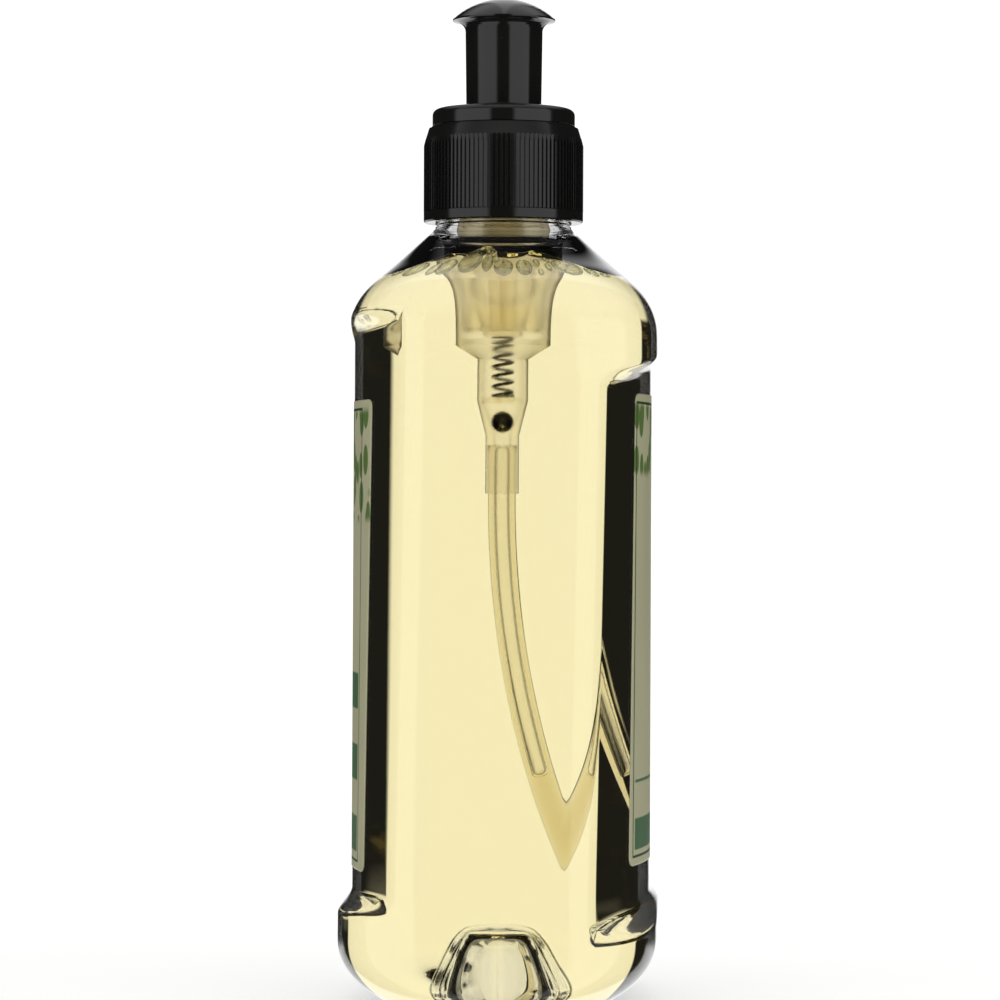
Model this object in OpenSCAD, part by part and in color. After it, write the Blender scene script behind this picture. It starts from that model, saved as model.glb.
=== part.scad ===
// Liquid soap bottle with a lotion pump, filled, with the pump locked down.
// The foot stands on z = 0, the labels face -X (front) and +X (back), the nozzle points to +Y.

/* [Bottle body] */
// Width across the lower bumper, along X
bumper_w = 64.8; // [58:0.2:74]
// Width across the upper bumper, along X
shoulder_w = 63; // [57:0.2:72]
// Depth of the body from pillar to pillar, along Y
body_d = 86; // [78:0.5:92]
// Width of the foot where the base corner ends
foot_w = 40; // [34:0.5:46]
// Height of the widest place of the lower bumper
bumper_z = 15.5; // [13:0.5:18]
// Height at which the shoulder starts to turn in
shoulder_z = 135.5; // [130:0.5:175]
// Radius of the shoulder's turn
shoulder_r = 15; // [12:0.5:18]
// Slope of the shoulder cone, in degrees from the vertical
shoulder_slope = 47.8; // [42:0.2:52]
// Squareness of the body's section: 2 is an ellipse
squareness = 4; // [3:0.1:5]
// Thickness of the blown wall
wall = 0.8; // [0.5:0.05:1.2]

/* [Base] */
// Width of the push-up at the standing ring
push_up_w = 29; // [25:0.5:31]
// Height of the push-up
push_up_h = 14.5; // [8:0.5:17]
// Width of the flat standing ring
standing_ring = 2.2; // [1.5:0.1:3]
// Petals pressed into the push-up
petals = 8; // [4:1:12]
// Depth of the petals, as a share of the push-up's radius
petal_depth = 0.035; // [0:0.005:0.06]

/* [Label panels] */
// Depth of each label panel below the lower bumper
panel_inset = 1.8; // [1:0.1:3]
// Width of the pillar faces between the panels
pillar_w = 42.2; // [38:0.2:46]
// Rounding of the pillar faces at their edges, as a drop of the edge below the face
pillar_round = 3.1; // [0:0.1:4]
// Height of each panel's lower lip at its middle
panel_bottom = 21.2; // [20:0.2:26]
// Height of the back panel's upper lip at its middle
panel_top = 132.4; // [128:0.2:134]
// Height by which the front panel's upper lip stands above the back one's
front_lip_rise = 3.8; // [0:0.2:5]
// Rise of the upper lip from its middle towards one pillar, and fall towards the other
top_lip_slant = 3.2; // [0:0.2:5]
// Rise of the upper lip's arch at both pillars
top_lip_arch = 1.2; // [0:0.2:2]
// Rise of the lower lip from its middle towards one pillar, and fall towards the other
bottom_lip_slant = 2.7; // [0:0.1:3]
// Drop of the lower lip's arch at both pillars
bottom_lip_arch = 5.8; // [3:0.2:6]
// Height over which a lip runs from bumper to panel
lip_h = 3; // [2:0.1:3.5]

/* [Labels] */
// Width of a label, measured straight across
label_w = 48; // [36:0.5:56]
// Height of a label
label_h = 94; // [60:0.5:98]
// Height of the front label's lower edge
front_label_z = 28.5; // [27:0.5:32]
// Height of the back label's lower edge
back_label_z = 29.9; // [27:0.5:32]
// Thickness of the label stock
label_t = 0.1; // [0.06:0.01:0.2]
// Corner radius of the labels
label_corner = 2; // [1:0.5:5]

/* [Liquid] */
// Height of the liquid's surface above the end of the shoulder's turn
liquid_rise = 1.2; // [0.6:0.1:5]
// Height of the liquid inside the dip tube
tube_level = 47; // [25:1:90]
// Gap between the liquid and what it wets
film = 0.1; // [0.05:0.01:0.2]

/* [Neck] */
// Step of the bead under the closure, measured from the root of the thread
bead_step = 1.35; // [1.1:0.05:1.6]
// Height of the bead
bead_h = 1.5; // [1:0.1:1.8]
// Height of the neck from the end of the shoulder to the rim
neck_h = 17; // [15:0.5:22]
// Thickness of the neck at the root of the thread
neck_wall = 1.75; // [1.4:0.05:2]

/* [Closure] */
// Diameter of the collar over its ribs
collar_d = 32.7; // [31.5:0.1:36]
// Clear height between the bead and the collar's foot
collar_foot_gap = 0.3; // [0.2:0.1:1]
// Thickness of the collar over its ribs
collar_wall = 2.35; // [1.9:0.05:2.8]
// Room for the thread between the collar and the neck
thread_room = 1.45; // [1.2:0.05:1.8]
// Thickness of the collar's top plate
collar_top_t = 1.4; // [1:0.1:2]
// Height over which the collar narrows to its top
collar_taper_h = 4.5; // [2:0.1:6]
// Amount by which the collar's radius narrows to its top
collar_taper = 1.3; // [0.8:0.1:1.8]
// Height of the smooth band at the collar's foot
collar_band = 2.3; // [1:0.1:4]
// Number of grip ribs round the collar
ribs = 104; // [60:1:120]
// Depth of the grip ribs
rib_depth = 0.35; // [0.2:0.05:0.5]
// Diameter of the locking ring on top of the collar
chaplet_d = 29.2; // [28:0.1:30]
// Height of the locking ring above the collar
chaplet_h = 3.4; // [2.6:0.1:5]
// Corner radius of the locking ring's top edge
chaplet_corner = 1.3; // [0.8:0.1:1.8]
// Height of the locking ring's hub inside the head's skirt
hub_h = 8; // [5:0.5:10]
// Gap between flat faces that turn on each other
face_gap = 0.1; // [0.05:0.01:0.2]

/* [Head] */
// Diameter of the dome
dome_d = 21; // [19:0.1:26]
// Rise of the dome above its rim
dome_rise = 4.2; // [3:0.1:5]
// Height of the head from its foot to the top of the dome
head_h = 22.5; // [20:0.5:28]
// Diameter of the skirt under the dome
skirt_d = 15.8; // [15.4:0.1:18]
// Amount by which the skirt narrows to its foot
skirt_draft = 0.4; // [0:0.1:0.6]
// Thickness of the skirt
skirt_wall = 1; // [0.7:0.1:1.2]
// Height of the hollow turn between skirt and dome
cove_h = 2.2; // [1.5:0.1:3]
// Thickness of the dome's rim
rim_t = 0.35; // [0.2:0.05:0.6]
// Reach of the nozzle from the pump's axis to the start of its turned-down tip
nozzle_reach = 27; // [18:0.5:34]
// Slope of the nozzle, in degrees
nozzle_slope = 6; // [0:1:12]
// Width of the nozzle at the dome
nozzle_root_w = 11.6; // [9:0.2:13]
// Thickness of the nozzle at the dome
nozzle_root_t = 5.6; // [5:0.1:6.4]
// Width of the nozzle's tip
nozzle_tip_w = 6.4; // [5.6:0.1:7.4]
// Angle by which the tip is turned down
tip_turn = 42; // [20:1:60]
// Diameter of the nozzle's passage
passage_d = 3.2; // [2.4:0.1:3.8]

/* [Pump] */
// Way that the plunger rises when it is unlocked
stroke = 13; // [8:0.5:14]
// Gap between the pump chamber and the neck's bore
chamber_gap = 1.5; // [1:0.1:2]
// Thickness of the pump chamber
chamber_wall = 1.4; // [1:0.1:1.8]
// Height of the chamber's lower end
chamber_z = 133.7; // [130:0.1:140]
// Outside diameter of the spring cup under the chamber
cup_d = 10; // [9:0.1:12]
// Height of the spring cup
cup_h = 8.4; // [7:0.1:12]
// Height of the funnel between chamber and spring cup
upper_funnel = 2.8; // [2:0.1:4]
// Height of the funnel between spring cup and socket
lower_funnel = 7; // [6.5:0.1:9]
// Depth to which the dip tube sits in its socket
socket_h = 9.7; // [6:0.1:14]
// Thickness of the housing's flange
flange_t = 1.2; // [0.8:0.1:1.8]
// Thickness of the gasket
gasket_t = 1; // [0.6:0.1:1.6]
// Outside diameter of the stem
stem_d = 8; // [7.4:0.1:8.4]
// Bore of the stem
stem_bore = 5.2; // [4.8:0.1:5.6]
// Height of the piston
piston_h = 9.2; // [7:0.1:11]
// Radial clearance of shafts and of the piston
running_gap = 0.06; // [0.02:0.01:0.09]
// Outside diameter of the spring
spring_d = 4.6; // [4.2:0.1:5.4]
// Diameter of the spring's wire
wire_d = 0.7; // [0.5:0.05:0.9]
// Coils of the spring
coils = 7; // [5:1:9]
// Diameter of the inlet ball
inlet_ball_d = 4.4; // [4:0.1:5]
// Diameter of the outlet ball
outlet_ball_d = 3.6; // [3.4:0.1:4.4]

/* [Dip tube] */
// Outside diameter of the dip tube
tube_d = 5.5; // [4.5:0.1:6]
// Bore of the dip tube
tube_bore = 3.1; // [2.4:0.1:3.6]
// Radius to which the dip tube is bent
tube_bend_r = 138; // [130:2:200]
// Angle through which the dip tube is bent
tube_bend = 41; // [28:0.5:42]
// Side to which the dip tube is bent, in degrees from +X towards +Y
tube_turn = 50; // [40:1:60]

/* [Hidden] */
$fn = 96;
black = [0.09, 0.085, 0.08];
milky = [0.86, 0.88, 0.84];

// Points on a quarter of an ellipse, from angle a0 to a1
function arc_points(cx, cy, rx, ry, a0, a1, steps = 8) =
    [for (i = [0:steps]) let (a = a0 + (a1 - a0) * i / steps) [cx + rx * cos(a), cy + ry * sin(a)]];
function clamp(t) = min(1, max(0, t));
function smooth(t) = let (c = clamp(t)) c * c * (3 - 2 * c);
function mix(a, b, t) = a + (b - a) * t;

// Diameters that follow the collar, from the outside in
collar_bore = collar_d - 2 * collar_wall;
neck_d = collar_bore - 2 * thread_room;
bead_d = neck_d + 2 * bead_step;
neck_bore = neck_d - 2 * neck_wall;
chamber_d = neck_bore - 2 * chamber_gap;
chamber_bore = chamber_d - 2 * chamber_wall;

// Shoulder and neck heights
shoulder_turn_h = shoulder_r * sin(shoulder_slope);
shoulder_turn_x = shoulder_w / 2 - shoulder_r * (1 - cos(shoulder_slope));
bead_r = bead_d / 2;
neck_root_r = bead_r - 0.25;
neck_z = shoulder_z + shoulder_turn_h + (shoulder_turn_x - neck_root_r) / tan(shoulder_slope);
rim_z = neck_z + neck_h;
bead_top_z = neck_z + bead_h - 0.9;
foot_hw = foot_w / 2;
panel_w = bumper_w - 2 * panel_inset;
liquid_level = shoulder_z + shoulder_turn_h + liquid_rise;
depth_ratio = body_d / bumper_w;

// Half width of the body along X at a height, without the panels
function half_width(z) =
    z <= bumper_z ? bumper_w / 2 - (bumper_w / 2 - foot_hw) * pow((bumper_z - z) / bumper_z, 2)
    : z <= shoulder_z ? mix(bumper_w / 2, shoulder_w / 2, (z - bumper_z) / (shoulder_z - bumper_z))
    : z <= shoulder_z + shoulder_turn_h
        ? shoulder_w / 2 - shoulder_r + sqrt(pow(shoulder_r, 2) - pow(z - shoulder_z, 2))
    : shoulder_turn_x - (z - shoulder_z - shoulder_turn_h) * tan(shoulder_slope);
// Depth of the section as a multiple of its width
function depth_share(z) = mix(depth_ratio, 1, smooth((z - shoulder_z) / (neck_z - shoulder_z)));
// Power of the section's superellipse
function power_at(z) = z < shoulder_z
    ? mix(2.6, squareness, smooth(z / bumper_z))
    : mix(squareness, 2, smooth((z - shoulder_z) / (neck_z - shoulder_z) / 0.825));
function superellipse_r(angle, hx, hy, p) =
    pow(pow(abs(cos(angle)) / hx, p) + pow(abs(sin(angle)) / hy, p), -1 / p);

// Place of the pillar's edge on the section, and the ring's angles with one on each edge
pillar_edge_y = body_d / 2 * pow(1 - pow(pillar_w / bumper_w, squareness), 1 / squareness);
edge_angle = atan2(pillar_edge_y, pillar_w / 2);
// Radius of a panel that runs from its crest to the pillars' rounded edges
panel_edge_y = pillar_edge_y - pillar_round;
panel_crest = (panel_w - pillar_w) / 2;
panel_r = (pow(panel_crest, 2) + pow(panel_edge_y, 2)) / (2 * panel_crest);
panel_steps = 16;
// Places across a pillar, closer together where its edges are rounded
pillar_places = [0, 0.04, 0.09, 0.17, 0.5, 0.83, 0.91, 0.96];
angles = [
    for (side = [0, 180]) each concat(
        [for (i = [0:panel_steps - 1]) side + mix(-edge_angle, edge_angle, i / panel_steps)],
        [for (t = pillar_places) side + mix(edge_angle, 180 - edge_angle, t)])];
sides = len(angles);

// Place between the pillars: 1 at one edge of a panel and -1 at the other, and back across a pillar
function slant(angle) = let (a = (angle + edge_angle) % 180 - edge_angle)
    a <= edge_angle ? a / edge_angle : mix(1, -1, (a - edge_angle) / (180 - 2 * edge_angle));
// Share of the front panel at an angle: 1 on it, 0 on the back panel, and between them on the pillars
function front_share(angle) = smooth(0.5 - 0.5 * cos(angle) / cos(edge_angle));
function top_lip(angle) = let (s = slant(angle))
    top_lip_slant * s + top_lip_arch * s * s + front_lip_rise * front_share(angle);
function bottom_lip(angle) = let (s = slant(angle)) bottom_lip_slant * s - bottom_lip_arch * s * s;
// Depth of the recess at a height: 0 on the bumpers and 1 on the panels
function recess(z, angle) =
    smooth((z - panel_bottom - bottom_lip(angle)) / lip_h + 0.5)
    * smooth((panel_top + top_lip(angle) - z) / lip_h + 0.5);
function panel_x(y) = panel_w / 2 - panel_r + sqrt(pow(panel_r, 2) - y * y);

// Rings of the outside wall: height, and how far each follows the lower and the upper lip
level_ring_z = liquid_level + (wall + film) * sin(shoulder_slope);
wall_rings = [
    [0.9, 0, 0], [2.6, 0, 0], [5, 0, 0], [7.6, 0.12, 0], [10.2, 0.35, 0], [12.8, 0.5, 0],
    [bumper_z, 0.65, 0], [bumper_z + 2.6, 0.85, 0],
    for (i = [-2:2]) [panel_bottom + lip_h * i / 4, 1, 0],
    [27, 0.25, 0], [70, 0, 0], [118, 0, 0.1],
    for (i = [-2:2]) [panel_top + lip_h * i / 4, 0, 1],
    [shoulder_z + 2, 0, 0.62], [shoulder_z + 4.4, 0, 0.42], [shoulder_z + 7, 0, 0.22],
    [shoulder_z + 9.2, 0, 0.1], [shoulder_z + shoulder_turn_h, 0, 0],
    [mix(shoulder_z + shoulder_turn_h, level_ring_z, 0.5), 0, 0],
    [level_ring_z, 0, 0], [mix(level_ring_z, neck_z, 0.5), 0, 0], [neck_z - 0.1, 0, 0]];
function wall_point(ring, angle) =
    let (z = ring[0] + ring[1] * bottom_lip(angle) + ring[2] * top_lip(angle),
        hx = half_width(z),
        r = superellipse_r(angle, hx, hx * depth_share(z), power_at(z)),
        x = r * cos(angle), y = r * sin(angle),
        across = min(1, abs(cos(angle)) * tan(edge_angle) / max(abs(sin(angle)), 0.001)),
        y_round = abs(y) * (1 - pillar_round / pillar_edge_y * pow(across, 12)),
        inside = min(abs(x), panel_x(min(y_round, panel_edge_y))))
    [sign(x) * mix(abs(x), inside, recess(z, angle)), sign(y) * mix(abs(y), y_round, recess(z, angle)), z];

// Rings of the underside: radius, height and depth of the petals
push_up_r = push_up_w / 2;
base_rings = [
    for (i = [1:6]) let (a = 90 - 14 * i)
        [push_up_r * cos(a), push_up_h * sin(a), petal_depth * sin(2 * a)],
    [push_up_r + 0.5, 0.35, 0],
    [push_up_r + 1.4, 0, 0], [push_up_r + 1.4 + standing_ring, 0, 0],
    [mix(push_up_r + 1.4 + standing_ring, half_width(0.9), 0.6), 0.25, 0]];
function base_point(ring, angle) =
    let (r = superellipse_r(angle, ring[0], ring[0] * depth_ratio, 2.3)
        * (1 + ring[2] * cos(petals * angle)))
    [r * cos(angle), r * sin(angle), ring[1]];

outside = concat(
    [for (ring = base_rings) [for (a = angles) base_point(ring, a)]],
    [for (ring = wall_rings) [for (a = angles) wall_point(ring, a)]]);
last_ring = len(outside) - 1;
// Index of the ring at the liquid's surface
level_ring = len(base_rings) + len(wall_rings) - 3;

// The skin moved inwards by a thickness, up to a ring
function normal(k, j) =
    let (around = outside[k][(j + 1) % sides] - outside[k][(j + sides - 1) % sides],
        up = outside[min(k + 1, last_ring)][j] - outside[max(k - 1, 0)][j],
        n = cross(around, up))
    n / norm(n);
function skin(thickness, top) =
    [for (k = [0:top]) [for (j = [0:sides - 1]) outside[k][j] - thickness * normal(k, j)]];
nub_z = push_up_h - 0.9;

// Triangles between the rings of a skin with n sides whose first point has a given index
function skin_faces(first, top, n, flip = false) = [
    for (k = [0:top - 1], j = [0:n - 1])
        let (a = first + k * n + j, b = first + k * n + (j + 1) % n, c = a + n, d = b + n)
        each flip ? [[a, b, c], [b, d, c]] : [[a, c, b], [b, c, d]]];
function centre_faces(centre, first, n, flip = false) = [
    for (j = [0:n - 1]) let (a = first + j, b = first + (j + 1) % n)
        flip ? [centre, b, a] : [centre, a, b]];

// Blown shell with its inside, open at the neck
module blown_shell() {
    inner = skin(wall, last_ring);
    count = sides * (last_ring + 1);
    top = sides * last_ring;
    polyhedron(
        points = concat([for (r = outside) each r], [for (r = inner) each r],
            [[0, 0, nub_z], [0, 0, nub_z + wall]]),
        faces = concat(
            skin_faces(0, last_ring, sides), centre_faces(2 * count, 0, sides),
            skin_faces(count, last_ring, sides, true), centre_faces(2 * count + 1, count, sides, true),
            [for (j = [0:sides - 1])
                let (a = top + j, b = top + (j + 1) % sides, c = a + count, d = b + count)
                each [[a, c, b], [b, c, d]]]),
        convexity = 6);
}

// Neck finish with its bead, closed down to the shoulder's wall
module neck_finish() {
    rotate_extrude() polygon([
        [neck_bore / 2, neck_z - 0.9], [bead_r, neck_z - 0.9], [bead_r, bead_top_z - 0.2],
        [bead_r - 0.2, bead_top_z], [bead_r - 0.8, bead_top_z],
        [bead_r - 0.8, bead_top_z + 1.6], [neck_d / 2, bead_top_z + 2],
        [neck_d / 2, rim_z - 0.5], [neck_d / 2 - 0.5, rim_z],
        [neck_bore / 2 + 0.3, rim_z], [neck_bore / 2, rim_z - 0.3]]);
}

module bottle() {
    color([0.86, 0.93, 0.84, 0.35]) union() {
        blown_shell();
        neck_finish();
    }
}

// Heights of the pieces stacked on the rim
flange_z = rim_z + gasket_t;
collar_plate_z = flange_z + flange_t + face_gap;
collar_top_z = collar_plate_z + collar_top_t;
collar_foot_z = bead_top_z + collar_foot_gap;
chaplet_z = collar_top_z + face_gap;
chaplet_top_z = chaplet_z + chaplet_h;
head_z = chaplet_top_z + face_gap;
head_top_z = head_z + head_h;

// Housing sizes
chamber_r = chamber_d / 2;
cup_top_z = chamber_z - upper_funnel;
cup_bottom_z = cup_top_z - cup_h;
socket_top_z = cup_bottom_z - lower_funnel;
socket_floor_t = 2;
socket_bottom_z = socket_top_z - socket_floor_t - socket_h;
tube_top_z = socket_bottom_z + socket_h;
socket_r = tube_d / 2 + 0.55;
housing_hub_r = collar_bore / 2 - 2.8;
flange_r = neck_d / 2 + 0.4;
chaplet_seat_h = 2.2;
housing_top_z = chaplet_z + chaplet_seat_h - face_gap;
cup_bore_r = cup_d / 2 - 1.2;
piston_z = chamber_z + 2.7;
piston_top_z = piston_z + piston_h;
stem_ring_h = 1.6;
tube_socket_gap = 0.02;

// Outline of the housing's outside below its flange, moved out by a gap
function housing_outside(gap) = [
    [chamber_r + gap, chamber_z + 0.4 * gap],
    [cup_d / 2 + gap, cup_top_z - 0.3 * gap], [cup_d / 2 + gap, cup_bottom_z - 0.3 * gap],
    [socket_r + gap, socket_top_z - 0.3 * gap], [socket_r + gap, socket_bottom_z - gap]];
inlet_floor_r = tube_bore / 2;
inlet_floor_z = socket_top_z + 0.5;
inlet_mouth_z = cup_bottom_z - 0.4;

module housing() {
    color(milky) rotate_extrude() polygon(concat(
        [[housing_hub_r, housing_top_z], [housing_hub_r, flange_z + flange_t],
            [flange_r, flange_z + flange_t], [flange_r, flange_z], [chamber_r, flange_z]],
        housing_outside(0),
        [[tube_d / 2 + tube_socket_gap, socket_bottom_z], [tube_d / 2 + tube_socket_gap, tube_top_z],
            [inlet_floor_r, tube_top_z], [inlet_floor_r, inlet_floor_z],
            [cup_bore_r, inlet_mouth_z], [cup_bore_r, cup_top_z + 0.3],
            [chamber_bore / 2, chamber_z + 1.2], [chamber_bore / 2, housing_top_z]]));
}

module gasket() {
    color([0.8, 0.8, 0.78]) translate([0, 0, rim_z]) difference() {
        cylinder(r = neck_d / 2 + 0.2, h = gasket_t);
        translate([0, 0, -1]) cylinder(r = chamber_r + 0.15, h = gasket_t + 2);
    }
}

// The dip tube's way: straight down in the socket, then a bend to one side
module tube_way(r_out, r_in, top_z, from_angle, to_angle) {
    bend_z = socket_bottom_z;
    rotate(tube_turn) {
        if (top_z > bend_z)
            translate([0, 0, bend_z]) difference() {
                cylinder(r = r_out, h = top_z - bend_z);
                if (r_in > 0) translate([0, 0, -1]) cylinder(r = r_in, h = top_z - bend_z + 2);
            }
        translate([tube_bend_r, 0, bend_z]) rotate([90, 0, 0]) rotate(180 + from_angle)
            rotate_extrude(angle = to_angle - from_angle, $fn = 360) translate([tube_bend_r, 0])
                difference() {
                    circle(r = r_out, $fn = 48);
                    if (r_in > 0) circle(r = r_in, $fn = 48);
                }
    }
}

module dip_tube() {
    color([0.93, 0.94, 0.88]) tube_way(tube_d / 2, tube_bore / 2, tube_top_z, 0, tube_bend);
}

// Angle along the bend at which the liquid stands in the tube
tube_level_angle = asin((socket_bottom_z - tube_level) / tube_bend_r);

module liquid_soap() {
    n = sides;
    rings = skin(wall + film, level_ring);
    count = n * (level_ring + 1);
    points = [for (k = [0:level_ring], p = rings[k]) k < level_ring ? p : [p[0], p[1], liquid_level]];
    color([0.93, 0.86, 0.5, 0.5]) union() {
        difference() {
            polyhedron(
                points = concat(points, [[0, 0, nub_z + wall + film]]),
                faces = concat(skin_faces(0, level_ring, n), centre_faces(count, 0, n),
                    [[for (j = [0:n - 1]) count - 1 - j]]),
                convexity = 6);
            rotate_extrude() polygon(concat(
                [[0, neck_z], [chamber_r + film, neck_z]], housing_outside(film),
                [[0, socket_bottom_z - film]]));
            tube_way(tube_d / 2 + film, 0, socket_bottom_z, 0, tube_bend);
        }
        tube_way(tube_bore / 2 - film, 0, socket_bottom_z, tube_level_angle, tube_bend + 0.1);
    }
}

// Outline of a label, centred on its width
function rounded_outline(w, h, c) = concat(
    arc_points(w / 2 - c, c, c, c, -90, 0), arc_points(w / 2 - c, h - c, c, c, 0, 90),
    arc_points(c - w / 2, h - c, c, c, 90, 180), arc_points(c - w / 2, c, c, c, 180, 270));

// A label: a patch of a thin cylinder that lies on the panel's curve
module label(z) {
    half_angle = asin(label_w / 2 / panel_r);
    intersection() {
        translate([panel_w / 2 - panel_r, 0, z - 1]) rotate([0, 0, -half_angle - 1])
            rotate_extrude(angle = 2 * half_angle + 2, $fn = 360)
                translate([panel_r, 0]) square([label_t, label_h + 2]);
        translate([panel_w / 4, 0, z]) rotate([90, 0, 90]) linear_extrude(panel_w / 2)
            polygon(rounded_outline(label_w, label_h, label_corner));
    }
}

module front_label() {
    color([0.72, 0.8, 0.5]) rotate([0, 0, 180]) label(front_label_z);
}

module back_label() {
    color([0.86, 0.86, 0.7]) label(back_label_z);
}

// Grip ribs as one extruded outline
rib_r = collar_d / 2;
module rib_ring(h) {
    pitch = 360 / ribs;
    linear_extrude(h) difference() {
        polygon([for (i = [0:ribs - 1]) each [
            for (p = [[-0.5, 1], [-0.22, 1], [-0.12, 0], [0.12, 0], [0.22, 1]])
                let (a = (i + p[0]) * pitch, r = rib_r - rib_depth * p[1]) [r * cos(a), r * sin(a)]]]);
        circle(collar_bore / 2 + 0.6);
    }
}

rib_bottom_z = collar_foot_z + collar_band;
taper_z = collar_top_z - collar_taper_h;
rib_top_z = collar_top_z - 0.5;
// Outline of the narrowing top for a radius at its foot
function taper(r) = [[r, taper_z], [r - 0.3 * collar_taper, mix(taper_z, collar_top_z, 0.36)],
    [r - 0.95 * collar_taper, collar_top_z - 0.15], [r - 0.95 * collar_taper - 0.2, collar_top_z]];
module collar() {
    rim_r = rib_r - rib_depth - 0.02;
    color(black) union() {
        rotate_extrude() polygon(concat(
            [[collar_bore / 2, collar_foot_z], [rib_r - 0.3, collar_foot_z], [rib_r, collar_foot_z + 0.3],
                [rib_r, rib_bottom_z - 0.2], [rim_r, rib_bottom_z]],
            taper(rim_r),
            [[housing_hub_r + 0.3, collar_top_z], [housing_hub_r + 0.3, collar_plate_z],
                [collar_bore / 2, collar_plate_z]]));
        intersection() {
            translate([0, 0, rib_bottom_z - 0.1]) rib_ring(rib_top_z - rib_bottom_z + 0.1);
            rotate_extrude() polygon(concat([[0, rib_bottom_z - 1], [rib_r + 0.1, rib_bottom_z - 1]],
                taper(rib_r + 0.1), [[0, collar_top_z]]));
        }
    }
}

// Locking ring: cap on the housing, hub inside the skirt, and a guide whose foot ends the plunger's rise
hub_r = skirt_d / 2 - skirt_draft / 2 - skirt_wall - 0.3;
guide_r = stem_d / 2 + running_gap;
guide_foot_z = piston_top_z + stem_ring_h + stroke + face_gap;
module chaplet() {
    r = chaplet_d / 2;
    color(black) rotate_extrude() polygon(concat(
        [[r, chaplet_z]],
        arc_points(r - chaplet_corner, chaplet_top_z - chaplet_corner, chaplet_corner, chaplet_corner,
            0, 90),
        [[hub_r, chaplet_top_z], [hub_r, chaplet_top_z + hub_h - 0.4], [hub_r - 0.4, chaplet_top_z + hub_h],
            [guide_r, chaplet_top_z + hub_h], [guide_r, guide_foot_z],
            [guide_r + 1.2, guide_foot_z], [guide_r + 1.6, chaplet_z + chaplet_seat_h],
            [housing_hub_r + 0.02, chaplet_z + chaplet_seat_h], [housing_hub_r + 0.02, chaplet_z]]));
}

// Head: dome, cove, skirt and nozzle
dome_r = dome_d / 2;
dome_rim_z = head_top_z - dome_rise;
sphere_r = (dome_r * dome_r + dome_rise * dome_rise) / (2 * dome_rise);
dome_angle = asin(dome_r / sphere_r);
cove_z = dome_rim_z - rim_t - cove_h;
ceiling_z = dome_rim_z - 3.6;
socket_tube_r = stem_d / 2 + 1.3;
stem_seat_z = ceiling_z - 1;
tip_bend_r = 9;
nozzle_z = dome_rim_z - 0.4;

// Stations along the nozzle: place along Y and Z from its start, slope, and share of the way
nozzle_start = dome_r / 2;
function straight_station(t) = let (d = mix(nozzle_start, nozzle_reach, t))
    [d * cos(nozzle_slope), -d * sin(nozzle_slope), nozzle_slope, 0.75 * t];
function turned_station(t) = let (a = nozzle_slope + tip_turn * t)
    [nozzle_reach * cos(nozzle_slope) + tip_bend_r * (sin(a) - sin(nozzle_slope)),
        -nozzle_reach * sin(nozzle_slope) + tip_bend_r * (cos(a) - cos(nozzle_slope)), a, 0.75 + 0.25 * t];
nozzle_stations = concat([for (i = [0:4]) straight_station(i / 4)], [for (i = [1:5]) turned_station(i / 5)]);
nozzle_sides = 24;
function nozzle_ring(station) = [for (i = [0:nozzle_sides - 1])
    let (a = 360 * i / nozzle_sides, slope = station[2], t = smooth(station[3]),
        hx = mix(nozzle_root_w, nozzle_tip_w, t) / 2, hz = mix(nozzle_root_t, nozzle_tip_w, t) / 2,
        r = superellipse_r(a, hx, hz, 2.4), up = r * sin(a))
    [r * cos(a), station[0] + up * sin(slope), nozzle_z + station[1] + up * cos(slope)]];

module nozzle_arm() {
    last = len(nozzle_stations) - 1;
    polyhedron(
        points = [for (station = nozzle_stations) each nozzle_ring(station)],
        faces = concat(skin_faces(0, last, nozzle_sides, true),
            [[for (i = [0:nozzle_sides - 1]) nozzle_sides - 1 - i],
                [for (i = [0:nozzle_sides - 1]) last * nozzle_sides + i]]),
        convexity = 4);
}

// Passage: a bore along the arm that meets a bore from the tip
module nozzle_passage() {
    corner_to_tip = tip_bend_r * tan(tip_turn / 2);
    to_corner = nozzle_reach + corner_to_tip;
    translate([0, 0, nozzle_z]) rotate([-90 - nozzle_slope, 0, 0]) {
        cylinder(d = passage_d, h = to_corner + passage_d / 4);
        translate([0, 0, to_corner]) rotate([-tip_turn, 0, 0]) translate([0, 0, -passage_d / 4])
            cylinder(d = passage_d, h = passage_d / 4 + corner_to_tip + 2);
    }
}

module head() {
    skirt_r = skirt_d / 2;
    foot_r = skirt_r - skirt_draft / 2;
    color(black) difference() {
        union() {
            rotate_extrude() polygon(concat(
                [[foot_r - skirt_wall, head_z], [foot_r + 0.35, head_z], [foot_r + 0.35, head_z + 0.3],
                    [foot_r, head_z + 0.65]],
                arc_points(dome_r, cove_z, dome_r - skirt_r, cove_h, 180, 90),
                [[dome_r, dome_rim_z]],
                arc_points(0, head_top_z - sphere_r, sphere_r, sphere_r, 90 - dome_angle, 90, 12),
                [[0, stem_seat_z], [socket_tube_r, stem_seat_z]],
                [[socket_tube_r, ceiling_z], [skirt_r - skirt_wall, ceiling_z]]));
            translate([0, 0, chaplet_top_z + hub_h + 0.4]) difference() {
                cylinder(r = socket_tube_r, h = ceiling_z + 0.5 - chaplet_top_z - hub_h - 0.4);
                translate([0, 0, -1]) cylinder(r = stem_d / 2 + 0.02, h = stem_seat_z + 1
                    - chaplet_top_z - hub_h - 0.4);
            }
            nozzle_arm();
        }
        translate([0, 0, stem_seat_z - 1]) cylinder(r = stem_bore / 2 - 0.2, h = nozzle_z - stem_seat_z + 1);
        nozzle_passage();
    }
}

// Plunger: piston between the stem's foot and the rod's head
outlet_seat_z = chaplet_top_z + 2;
outlet_seat_r = 1.3;

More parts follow.
